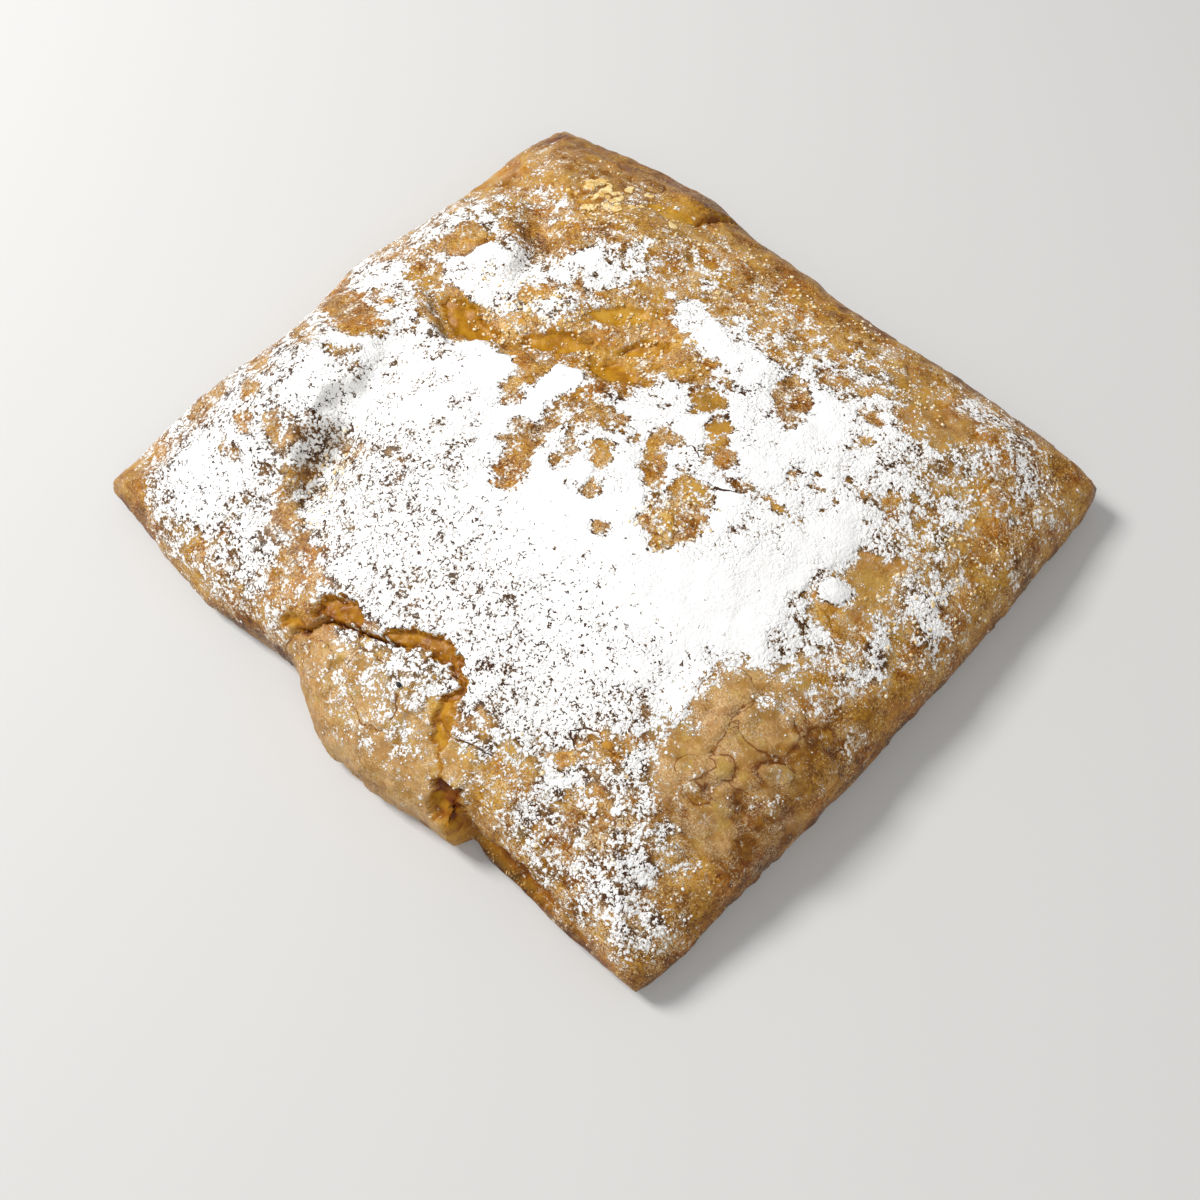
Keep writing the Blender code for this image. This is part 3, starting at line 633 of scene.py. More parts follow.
# Leaves of skin that stand up or have flaked off. Each row: x, y, half length, half width, turn, how far it
# stands up, darker or paler.
plates = (
    (54.5, -33.2, 2.3, 2.0, 10, 0.30, -0.06), (58.3, -29.5, 2.2, 1.8, -20, 0.26, 0.0),
    (64.2, -24.2, 2.8, 1.6, 35, 0.28, -0.20), (69.0, -17.0, 2.4, 3.0, 0, 0.22, -0.10),
    (59.0, -19.6, 5.0, 4.0, 30, 0.22, -0.04), (50.6, -20.4, 3.6, 4.6, -10, 0.24, 0.0),
    (62.0, -31.6, 4.4, 1.6, 25, -0.20, 0.11), (66.6, -13.6, 3.4, 1.8, 40, -0.18, 0.11),
    (57.4, -35.4, 2.2, 1.2, 20, -0.12, 0.05), (-28.2, 9.4, 2.7, 2.0, 10, 0.30, -0.45),
    (6.0, -58.0, 7.0, 4.0, -15, 0.20, -0.06), (-6.0, -60.5, 4.0, 2.6, 0, 0.20, 0.06),
    (39.5, -41.0, 2.6, 1.6, 15, 0.18, 0.0), (-50.0, 18.4, 3.4, 4.6, -12, 0.22, -0.10),
    (24.5, -6.4, 3.0, 2.0, 0, 0.22, -0.30), (-47.0, 53.0, 5.0, 3.0, 30, 0.25, -0.08),
    (-36.0, 56.0, 4.0, 2.6, 10, 0.22, 0.06), (18.0, 52.0, 6.0, 3.0, 0, 0.22, -0.06),
)


def slitDepth(x, y, level):
    # How far the slit beside the shell goes in: full at one level of the wall, with softly uneven lips.
    slit = smooth(x, gap["from"] - 1.5, gap["from"] + 1.0) * (1.0 - smooth(x, gap["to"] - 16.0, gap["to"]))
    middle = gap["level"] + 0.05 * flatCloud(x, 0 * y, 9.0, 2, 62)
    high = gap["halfHeight"] * (1.0 - 0.6 * smooth(x, 40.0, gap["to"]))
    high = high * (1.0 + 0.3 * flatCloud(x, 0 * y, 2.2, 2, 63))
    inSlit = 1.0 - smooth(np.abs(level - middle) / high, 0.75, 1.05)
    return gap["depth"] * slit * smooth(-y, 50.0, 56.0) * inSlit


def raggedness(x, y):
    # How far a torn edge stands in or out: soft waves, and a random step from one small scattered cell to
    # the next.
    own = cells(x, y, 0.9, 55)[2]
    return crack["ragged"] * (0.7 * flatCloud(x, y, 1.6, 2, 51) + 1.5 * (own - 0.5))


def openings(x, y):
    # The burst's narrow slot and the hollows where leaves have come away, each a share that falls from 1 to
    # 0 over its ragged edge. Then how far each place drops, and how dark it is, which is partly painted
    # shade: the slot is painted darkest, a hollow's wall has its colour, and its rim is painted darker as
    # shade, more on the right of its line.
    start, end, calmer = crack["calm"]
    drift = raggedness(x, y) * (1.0 - calmer * smooth(-y, start, end))
    beside, (width,) = besidePath(x, y, crack["slot"])
    slot = 1.0 - smooth(np.abs(beside + 0.8 * drift) / np.maximum(width + 0.4 * drift, 0.1), 0.7, 1.2)
    # The slot is painted dark as its shade.
    hollow, drop, dark = 0.0 * x, crack["slotDepth"] * slot, slot
    for depth, shade, line in hollows.values():
        beside, (width,) = besidePath(x, y, line)
        inset = width - drift - np.abs(beside)
        coloured = smooth(inset, -0.30, -0.08)
        rim = 1.0 - smooth(inset, 0.12, 0.60)
        hollow = np.maximum(hollow, coloured)
        uneven = 1.0 + 0.22 * flatCloud(x, y, 2.0, 2, 52)
        drop = np.maximum(drop, smooth(inset, -0.16, 0.12) * depth * uneven)
        # painted shade: the rim darker, more on the right of the line, where the wall's shadow falls
        dark = np.maximum(dark, coloured * (shade + rim * np.where(beside < 0, 0.22, 0.16)))
    return slot, hollow, drop, dark


def nearestCrack(x, y):
    # The signed distance to whichever is nearest, a fine crack or a plate's outline, on wandering places so
    # that it runs unevenly. Part of the way round a plate the crack is shut: the distance is kept up there.
    driftX, driftY = wander(x, y, 0.5, 1.5, 53)
    nearest = np.full(x.shape, 9.0)
    for line in fineCracks:
        beside = besidePath(driftX, driftY, line)[0]
        nearest = np.where(np.abs(beside) < np.abs(nearest), beside, nearest)
    shut = 0.5 * smooth(flatCloud(x, y, 2.6, 2, 56), -0.1, 0.3)
    for plate in plates:
        inward = ovalDistance(driftX, driftY, *plate[:5])
        inward = np.sign(inward + 1e-6) * (np.abs(inward) + shut)
        nearest = np.where(np.abs(inward) < np.abs(nearest), inward, nearest)
    return nearest


def crustSkin(across, along):
    # The packet's skin on a grid of shares: the plain form, moved along its normals by waves, blisters,
    # standing plates and the steps of flaked leaves, and inwards by the burst, its hollows and the slit.
    x, y, z, level = skinPoints(across, along)
    plain = np.stack([x, y, z], axis=2)
    normal = gridNormals(plain)
    cover = sugarCover(x, y, level)
    bare = 1.0 - smooth(cover, 0.35, 0.9)
    bubbled = layUp(x, y, 0.25, blistered)
    driftX = x + 0.8 * cloud(x, y, z, 3.0, 2, 71)
    nearest, second, own = cells(driftX, y + 1.3 * z, crust["blisterSize"], 72)
    dome = smooth(second - nearest, 0.0, 0.55) - 0.5
    rim = 1.0 - smooth(second - nearest, 0.03, 0.2)
    plated = bubbled * smooth(cloud(x, y, z, 9.0, 2, 76), -0.5, 0.2)
    flake = cloud(x, y, z, 7.0, 3, 73)
    peeled = (smooth(flake, 0.28, 0.34) + 0.6 * smooth(flake, 0.60, 0.66)) * bare
    lift = crust["swell"] * cloud(x, y, z, crust["swellSize"], 2, 74)
    lift = lift + crust["wrinkle"] * cloud(x, y, z, crust["wrinkleSize"], 3, 75)
    lift = lift + crust["blister"] * bubbled * dome * (0.35 + 0.65 * bare) - crust["peel"] * peeled
    lift = lift + crust["plate"] * (own - 0.5) * plated * bare
    paler, outline = 0.0 * x, 0.0 * x
    driftX, driftY = wander(x, y, 0.5, 1.5, 53)
    for *oval, stands, darker in plates:
        inward = ovalDistance(driftX, driftY, *oval)
        on = smooth(inward, -0.08, 0.22)
        lift = lift + stands * on * (1.0 - 0.35 * smooth(inward, 0.2, 1.4)) * bare
        paler = paler + darker * on
        outline = np.maximum(outline, wave(inward, -0.05, 0.18) * bare)
    beside = besidePath(x, y, crack["line"])[0]
    shellSide = smooth(-beside, -0.2, 0.4) * np.exp(-np.abs(beside) / 4.0) * smooth(-y, 40.0, 46.0)
    shellSide = shellSide * smooth(x, -18.0, -12.0) * (1.0 - smooth(x, 22.0, 30.0))
    fine = nearestCrack(x, y)
    lift = lift - crust["lowerSide"] * shellSide - crust["crackDepth"] * wave(fine, 0.0, 0.28)
    lift = lift + crust["crackCurl"] * wave(np.abs(fine), 0.8, 0.5)
    lip = crust["slitLip"] * smooth(x, 34.0, 37.0) * (1.0 - smooth(x, 52.0, 62.0))
    lip = lip * smooth(-y, 50.0, 56.0) * wave(level, 0.2, 0.12)
    slit = slitDepth(x, y, level)
    hollow, drop, dark = openings(x, y)[1:]
    outward = (lift + lip) * smooth(z, 0.0, 2.5) - slit - drop * smooth(z, 4.0, 9.0)
    moved = plain + normal * outward[..., None]
    moved[..., 2] = np.maximum(moved[..., 2], 0.0)
    # Painted shade: the burst's darkness, and darkness that deepens into the slit.
    deep = np.maximum(dark, slit / gap["depth"])
    inner = np.clip(np.maximum(layUp(x, y, 0.0, inside), np.maximum(hollow, deep)), 0, 1)
    values = {
        "cover": cover, "deep": deep, "inner": inner, "fine": fine, "level": level, "bubbled": bubbled,
        "peeled": peeled, "dome": dome, "plate": own * plated, "rim": rim * plated, "paler": paler,
        "outline": outline, "across": across, "along": along, "plain": plain,
    }
    return moved, normal, values


# Each row: x, y, half length, half width, turn, darker or paler, softness.
browningAndShadeRows = (
    (6, -62, 24, 7, 0, -0.22, 5), (60, -25, 15, 14, 0, -0.06, 4), (-40, 54, 34, 14, 0, 0.10, 6),
    (20, 56, 50, 9, 0, 0.04, 6), (70, 10, 7, 60, 0, 0.04, 5), (-58, -18, 14, 30, 0, 0.02, 6),
    (-64, -44, 11, 15, 0, 0.28, 6), (56, 20, 8, 40, 0, -0.10, 4), (-55, 36, 14, 12, 0, 0.0, 5),
    # painted shade: the rows at (-33, -33) and (-40, 28) darken the hollows there
    (-33, -33, 5, 9, -15, 0.35, 3), (-40, 28, 6, 3, -35, 0.4, 3), (0, 0, 30, 18, 0, 0.10, 6),
    (24, -7, 3.4, 2.2, 0, -0.6, 1.5), (-28.2, 9.4, 3.2, 2.3, 10, -0.45, 1),
    (-28, -47, 14, 3.5, -38, 0.0, 2), (56, 12, 8, 9, 0, -0.06, 3), (50, -60, 22, 6, 0, 0.10, 4),
    (-69, -60, 8, 4, 0, 0.12, 3), (-66, 60, 12, 8, 0, 0.16, 5), (71, -30, 5, 40, 0, 0.06, 4),
    (66, 46, 10, 12, 0, 0.14, 5), (0, -49.5, 9, 1.6, 10, 0.2, 2), (-66, -60, 10, 7, 0, 0.10, 4),
    (-31, -56, 8, 5, 0, 0.12, 4), (-32, 34, 14, 6, 10, 0.10, 4), (66, -62, 12, 8, 0, 0.14, 4),
    (54, -52, 10, 8, 0, 0.16, 4), (54, 37, 7, 6, 0, -0.28, 4), (54, 24, 7, 6, 0, -0.20, 4),
    (54, 0, 5, 5, 0, -0.12, 3), (24, 24, 14, 10, 0, 0.26, 5), (24, 0, 10, 9, 0, 0.16, 4),
    (60, -62, 12, 6, 0, 0.16, 4), (-30, -60, 8, 5, 0, 0.16, 4), (-66, -58, 8, 8, 0, 0.14, 4),
    (30, -48, 6, 4, 0, -0.20, 3), (54, 37, 6, 6, 0, -0.16, 4), (-66, 36, 6, 6, 0, -0.25, 4),
    (-12, -60, 6, 5, 0, 0.04, 4), (4, -60, 6, 4, 0, -0.04, 3), (60, -36, 6, 4, 0, 0.05, 3),
    (67, -26, 5, 12, 0, 0.11, 4), (10, -64, 18, 4, 0, -0.06, 3), (18, -14, 14, 6, 0, 0.06, 4),
    (60, -64, 14, 5, 0, 0.12, 4), (48, 62, 18, 5, 0, 0.14, 4), (6, -12, 4, 4, 0, 0.10, 3),
    (18, 12, 4, 4, 0, 0.10, 3), (-30, 24, 6, 4, 0, 0.16, 3), (-42, 35, 5, 4, 0, 0.14, 3),
    (54, 37, 5, 5, 0, -0.14, 4), (-66, -36, 6, 5, 0, 0.14, 4), (-26, -50, 7, 4, -30, 0.12, 3),
    (54, 20, 5, 8, 0, -0.10, 4),
)


browningAndShadeAmounts = {
    "middle": 0.42,                  # 0 is the palest and 1 the darkest
    "mottle": 0.17, "mottleSize": 9.0,
    "fine": 0.12, "fineSize": 2.6,
    # low: painted shade at the foot of the walls
    "low": 0.34,                     # how much darker the foot of a wall is
    # dome: painted light on the blisters' domes and painted shade in their seams
    "dome": 0.10,                    # how much paler a blister's dome is
    # outline: painted shade along the outlines of plates
    "flaked": 0.05, "outline": 0.12,
}


def browningAndShade(x, y, z, values):
    # How dark the crust has baked, 0 to 1, with painted shade and light added: mottled, with the rows above
    # added, painted darker as shade low on the walls and along the outlines of plates, darker where a leaf
    # has flaked off, and painted paler on the domes of blisters and darker in their seams.
    shade = browningAndShadeAmounts["middle"] + browningAndShadeAmounts["mottle"] * cloud(x, y, z, browningAndShadeAmounts["mottleSize"], 3, 81)
    shade = shade + browningAndShadeAmounts["fine"] * cloud(x, y, z, browningAndShadeAmounts["fineSize"], 3, 82)
    shade = shade + layUp(x, y, 0.0, browningAndShadeRows)
    # Painted shade low on the walls: half as strong on the left, which faces the key lamp, and weaker at
    # the front of the shell.
    wallFootShade = np.where(x > -40, 1.0, 0.5) * (1.0 - 0.6 * wave(x, 4.0, 24.0) * smooth(-y, 40.0, 55.0))
    shade = shade + browningAndShadeAmounts["low"] * (1.0 - smooth(values["level"], 0.05, 0.75)) * wallFootShade
    shade = shade - browningAndShadeAmounts["dome"] * values["bubbled"] * values["dome"]
    shade = shade + browningAndShadeAmounts["flaked"] * values["peeled"] + values["paler"]
    shade = shade + browningAndShadeAmounts["outline"] * values["outline"]
    return np.clip(shade, 0.0, 1.0)


def undersideOf(outline):
    # Loops that shrink from the thinned outline to one point: each is the outline scaled towards the
    # middle, and rises a little, with shallow steps where the leaves were folded over.
    loop = outline[::crust["underThinning"]]
    shares = np.linspace(1.0, 0.0, crust["underRings"] + 1)[:-1] ** 0.9
    shares[0] = 0.985
    points = loop[None] * shares[:, None, None]
    x, y = points[..., 0], points[..., 1]
    flap = smooth(x + 0.6 * y + 3.0 * flatCloud(x, y, 20.0, 2, 91), 6.0, 7.5)
    flap = flap + smooth(0.5 * x - y + 3.0 * flatCloud(x, y, 20.0, 2, 92), 14.0, 15.5)
    rise = crust["footDepth"] * smooth(1.0 - shares, 0.02, 0.2)[:, None]
    points[..., 2] = rise * (0.9 + 0.5 * flatCloud(x, y, 6.0, 3, 93) - 0.4 * flap)
    points[..., 2] = np.maximum(points[..., 2], 0.0)
    return points


def dustLevel(cover):
    # The share covered, as how many standard deviations of the dusting's speckle lie above it: a logistic
    # curve turned round, which 1.702 brings close to the bell curve's own sum.
    share = np.clip(cover, 0.004, 0.996)
    return -np.log(share / (1.0 - share)) / 1.702


atFoot = {   # what the crust's finish reads on the underside
    "cover": 0.03, "deep": 0.0, "inner": 0.0, "fine": 9.0,
    "bakedAndShaded": 0.62, "bubbled": 0.5, "plate": 0.0, "rim": 0.0,
}


def makeCrust():
    # The skin's grid, closed below by the underside's loops and a point in their middle. Between the grid's
    # edge and the first loop, each edge point joins its nearest partner, and a triangle fills in wherever
    # the partner changes.
    across, along = np.meshgrid(packedShares(*crust["columns"]), packedShares(*crust["rows"]))
    points, normal, values = crustSkin(across, along)
    values["bakedAndShaded"] = browningAndShade(points[..., 0], points[..., 1], points[..., 2], values)
    high, wide = points.shape[:2]
    index = np.arange(wide * high).reshape(high, wide)
    edge = np.concatenate([index[0, :-1], index[:-1, -1], index[-1, :0:-1], index[:0:-1, 0]])
    nextEdge = np.roll(edge, -1)
    flatPoints = points.reshape(-1, 3)
    under = undersideOf(flatPoints[edge])
    start, (count, around) = len(flatPoints), under.shape[:2]
    rings = start + np.arange(count * around).reshape(count, around)
    pole = np.full(around, start + count * around)
    cap = np.stack([rings[-1], pole, np.roll(rings[-1], -1)], axis=1)
    step, thinning = np.arange(len(edge)), crust["underThinning"]
    near = rings[0][(step + thinning // 2) // thinning % around]
    nearNext = rings[0][(step + thinning // 2 + 1) // thinning % around]
    outer = np.stack([edge, near, nextEdge], axis=1)
    changes = near != nearNext
    filling = np.stack([nextEdge[changes], near[changes], nearNext[changes]], axis=1)
    low = np.concatenate([under.reshape(-1, 3), [[0.0, 0.0, crust["footDepth"]]]])
    attributes = {}
    for key, value in atFoot.items():
        attributes[key] = np.concatenate([values[key].ravel(), np.full(len(low), value)])
    attributes["cover"] = dustLevel(attributes["cover"])
    lowPlaces = flatPlaces(low[:, 0] / packet["length"] * 2, low[:, 1] / packet["depth"] * 2, "below")
    makeMesh("packetCrust", np.concatenate([flatPoints, low]),
             [gridFaces(high, wide), loopFaces(rings), cap, outer, filling],
             dustedFinish("phylloCrust"), attributes,
             np.concatenate([flatPlaces(across, along, "skin"), lowPlaces]))
    return points, normal, values


class Bench:
    # Adds nodes to one material: each input is a number, a colour or another node's output.
    def __init__(self, name):
        self.material = bpy.data.materials.new(name)
        self.material.use_nodes = True
        self.nodes, self.links = self.material.node_tree.nodes, self.material.node_tree.links
        self.shader = self.nodes["Principled BSDF"]
        self.place = self.add("ShaderNodeTexCoord", output="Object")

    def add(self, kind, inputs=None, output=0, **settings):
        node = self.nodes.new(kind)
        for key, value in settings.items():
            setattr(node, key, value)
        for key, value in (inputs or {}).items():
            self.join(value, node.inputs[key])
        return node.outputs[output]

    def join(self, value, socket):
        if isinstance(value, bpy.types.NodeSocket):
            self.links.new(value, socket)
        else:
            socket.default_value = value

    def math(self, operation, a, b=0.0):
        return self.add("ShaderNodeMath", {0: a, 1: b}, operation=operation)

    def times(self, first, *others):
        for other in others:
            first = self.math("MULTIPLY", first, other)
        return first

    def plus(self, first, *others):
        for other in others:
            first = self.math("ADD", first, other)
        return first

    def scaled(self, value, factor, added):
        # The value times the factor, and then the third number added.
        return self.add("ShaderNodeMath", {0: value, 1: factor, 2: added}, operation="MULTIPLY_ADD")

    def step(self, value, low, high, first=0.0, last=1.0):
        # First below low, last above high, and smooth between them.
        inputs = {"Value": value, "From Min": low, "From Max": high, "To Min": first, "To Max": last}
        return self.add("ShaderNodeMapRange", inputs, interpolation_type="SMOOTHSTEP")

    def mix(self, share, a, b, blend="MIX"):
        return self.add("ShaderNodeMix", {0: share, 6: a, 7: b}, 2, data_type="RGBA", blend_type=blend)

    def noise(self, size, detail=2.0, roughness=0.5):
        inputs = {"Vector": self.place, "Scale": 1000.0 / size, "Detail": detail, "Roughness": roughness}
        return self.add("ShaderNodeTexNoise", inputs)

    def patches(self, size, detail, roughness, low, high, first=0.0, last=1.0):
        # Noise cut into patches: last where it is above high.
        return self.step(self.noise(size, detail, roughness), low, high, first, last)

    def wandering(self, scale, detail, far):
        # Places moved by up to far, in metres: each axis by far times its own noise.
        drift = self.add("ShaderNodeTexNoise", {"Vector": self.place, "Scale": scale, "Detail": detail}, 1)
        drift = self.add("ShaderNodeVectorMath", {0: drift, 1: (far, far, far)}, operation="MULTIPLY")
        return self.add("ShaderNodeVectorMath", {0: self.place, 1: drift}, operation="ADD")

    def attribute(self, name):
        return self.add("ShaderNodeAttribute", output="Fac", attribute_name=name)

    def ramp(self, value, stops):
        colour = self.add("ShaderNodeValToRGB", {"Fac": value})
        ramp = colour.node.color_ramp
        for place, shade in stops[1:-1]:
            ramp.elements.new(place).color = shade
        ramp.elements[0].position, ramp.elements[0].color = stops[0]
        ramp.elements[-1].position, ramp.elements[-1].color = stops[-1]
        return colour

    def bump(self, height, distance, strength=1.0, normal=None):
        inputs = {"Height": height, "Distance": distance * millimetre, "Strength": strength}
        if normal is not None:
            inputs["Normal"] = normal
        return self.add("ShaderNodeBump", inputs)

    def finish(self, **inputs):
        for key, value in inputs.items():
            self.join(value, self.shader.inputs[key])
        return self.material


def colour(red, green, blue):
    # A colour given in the usual 0 to 255, made linear: each share raised to about 2.4.
    shares = np.array([red, green, blue]) / 255.0
    straight = np.where(shares <= 0.04045, shares / 12.92, ((shares + 0.055) / 1.055) ** 2.4)
    return (*straight.tolist(), 1.0)


sugar = {
    "white": colour(247, 246, 244),
    "thin": colour(222, 198, 166),        # where a dusting is so thin that the crust shows through
    "film": colour(198, 154, 95),         # crust under the faintest powder
    "haze": colour(226, 200, 157),        # powder caught on bare crust
    # painted shade: the dark of the pinholes and of the crust's gaps beside specks
    "pinholeShade": colour(44, 19, 7),
    "pinholeSpacing": 0.76,
    "speckSize": 0.66,                    # in millimetres
    "speckSwing": 10.2,                   # how far the noise's 0 to 1 reaches, in the speckle's deviations
    "driftSize": 2.2,
    "driftSwing": 2.9,
    "pinholeDrop": -4.2,
    "lumpSize": 0.95,
    "lumpHeight": 0.13,
    "soft": 0.45,                         # how soft a speck's edge is, in the speckle's deviations
    "roughness": 0.92,
}

bakedColours = (
    (0.00, colour(212, 170, 88)), (0.26, colour(188, 140, 50)), (0.48, colour(158, 108, 25)),
    (0.72, colour(120, 71, 10)), (1.00, colour(62, 30, 4)),
)
# The inner leaves, golden to deep red-brown: the dark end is painted shade deep in the burst, the hole and
# the slit.
innerColours = (
    (0.00, colour(206, 162, 70)), (0.38, colour(180, 127, 24)), (0.68, colour(142, 85, 9)),
    (1.00, colour(100, 40, 6)),
)
crustTints = {
    "yellow": colour(242, 208, 96),
    "tan": colour(186, 142, 90),
    "milky": colour(187, 146, 96),        # the bubbled skin
    "paintedGlint": colour(236, 204, 142),       # pale flecks painted as glints
    # painted shade inside the fine cracks and along the outlines of plates
    "crack": colour(112, 58, 12),
}
# Patches on the bubbled skin: size, detail, roughness, the noise where they start and are full, share,
# colour.
bubbleTones = (
    (0.9, 4.0, 0.72, 0.50, 0.64, 0.60, colour(142, 101, 46)),
    (0.5, 3.0, 0.70, 0.57, 0.66, 0.60, colour(224, 196, 150)),
    (4.6, 1.5, 0.50, 0.50, 0.60, 0.66, colour(152, 107, 34)),
    (3.8, 1.5, 0.50, 0.54, 0.62, 0.60, colour(184, 150, 70)),
)


def sugarLumps(bench):
    # The powder's small lumps: how far a place lies from the border between its lump and the next, in
    # lumps.
    inputs = {"Vector": bench.wandering(1500.0, 1.0, 0.0007), "Scale": 1000.0 / sugar["lumpSize"]}
    return bench.add("ShaderNodeTexVoronoi", inputs, feature="DISTANCE_TO_EDGE")


def pinholes(bench, lumps, level):
    # Where the powder has not closed: 1 in small bent spots round scattered points and along short
    # stretches of the borders between lumps. The thinner the dusting and the nearer the front, the more of
    # them are open.
    inputs = {"Vector": bench.wandering(2200.0, 2.0, 0.0012), "Scale": 1000.0 / sugar["pinholeSpacing"]}
    spot = bench.add("ShaderNodeTexVoronoi", inputs)
    own = bench.add("ShaderNodeSeparateColor", {"Color": spot.node.outputs[1]})
    along = bench.add("ShaderNodeSeparateXYZ", {"Vector": bench.place}, 1)
    front = bench.step(along, -0.010, -0.032, 0.16, 1.0)
    often = bench.times(front, bench.patches(5.0, 2.0, 0.6, 0.38, 0.58, 0.35, 1.0))
    chance = bench.times(often, bench.step(level, -2.6, -1.2, 0.08, 0.75))
    spots = bench.times(bench.step(spot, 0.12, 0.34, 1.0, 0.0), bench.math("LESS_THAN", own, chance))
    seams = bench.times(bench.patches(1.0, 2.0, 0.6, 0.55, 0.62), bench.step(lumps, 0.03, 0.13, 1.0, 0.0),
                        bench.step(often, 0.1, 0.7))
    return bench.math("MAXIMUM", spots, seams)


def speckle(bench, lumps, level):
    # The dusting's speckle: fine and coarser noise added up, about 0 on average with a deviation of 1,
    # lower along the borders between the powder's lumps and in its pinholes. Where the dusting is thick it
    # is more even.
    swing, drift = sugar["speckSwing"], sugar["driftSwing"]
    fine = bench.scaled(bench.noise(sugar["speckSize"], 4.0, 0.62), swing, -swing / 2)
    fine = bench.times(fine, bench.step(level, -2.6, -1.0, 0.62, 1.0))
    drift = bench.patches(sugar["driftSize"], 2.0, 0.55, 0.0, 1.0, -drift, drift)
    drift = bench.times(drift, bench.step(level, -2.0, -0.4, 0.25, 1.0))
    borders = bench.times(bench.step(lumps, 0.0, 0.14, -0.8, 0.1), bench.step(level, -2.2, -1.2, 0.3, 1.0))
    holes = bench.scaled(pinholes(bench, lumps, level), sugar["pinholeDrop"], borders)
    return bench.plus(fine, drift, holes)


def crustColour(bench):
    # The baked ramp read by the shade with its mottling, freckles and plates, tinted yellow or tan from
    # place to place and milky where it has bubbled, with pale flecks painted as glints. Then the inner
    # leaves' ramp where those show, its dark end painted shade, and fine cracks and plate outlines painted
    # dark as their shade.
    bubbled, shade = bench.attribute("bubbled"), bench.attribute("bakedAndShaded")
    mottle = bench.patches(3.6, 3.0, 0.6, 0.3, 0.7, -0.15, 0.15)
    freckle = bench.patches(0.7, 4.0, 0.75, 0.34, 0.66, -0.21, 0.21)
    freckle = bench.times(freckle, bench.step(bubbled, 0.3, 0.8, 1.0, 0.36))
    plate = bench.scaled(bench.attribute("plate"), 0.20, bench.times(bench.attribute("rim"), -0.14))
    baked = bench.ramp(bench.plus(shade, mottle, freckle, plate), bakedColours)
    yellow = bench.patches(6.5, 3.0, 0.6, 0.46, 0.62, 0.0, 0.8)
    baked = bench.mix(yellow, baked, crustTints["yellow"], "MULTIPLY")
    tan = bench.patches(5.0, 3.0, 0.65, 0.50, 0.62, 0.0, 0.55)
    tan = bench.times(tan, bench.step(bubbled, 0.2, 0.7, 0.35, 1.0), bench.step(shade, 0.4, 0.66, 1.0, 0.1))
    baked = bench.mix(tan, baked, crustTints["tan"])
    milky = bench.times(bench.step(bubbled, 0.45, 0.85), bench.step(shade, 0.62, 0.40))
    baked = bench.mix(bench.times(milky, 0.70), baked, crustTints["milky"])
    for size, detail, roughness, low, high, most, tint in bubbleTones:
        patches = bench.patches(size, detail, roughness, low, high, 0.0, most)
        baked = bench.mix(bench.times(patches, milky), baked, tint)
    # painted glints: small pale flecks on the bare crust
    paintedGlint = bench.times(bench.patches(0.42, 3.0, 0.65, 0.56, 0.64, 0.0, 0.9),
                        bench.patches(2.8, 2.0, 0.6, 0.40, 0.58), bench.step(bubbled, 0.3, 0.8, 1.0, 0.35))
    baked = bench.mix(paintedGlint, baked, crustTints["paintedGlint"])
    mottle = bench.patches(2.2, 2.0, 0.55, 0.3, 0.7, 0.04, 0.34)
    innerTone = bench.scaled(bench.attribute("deep"), 0.75, mottle)
    base = bench.mix(bench.attribute("inner"), baked, bench.ramp(innerTone, innerColours))
    # painted shade: fine cracks and plate outlines darkened
    line = bench.step(bench.math("ABSOLUTE", bench.attribute("fine")), 0.03, 0.16, 1.0, 0.0)
    return bench.mix(bench.times(line, 0.85), base, crustTints["crack"])


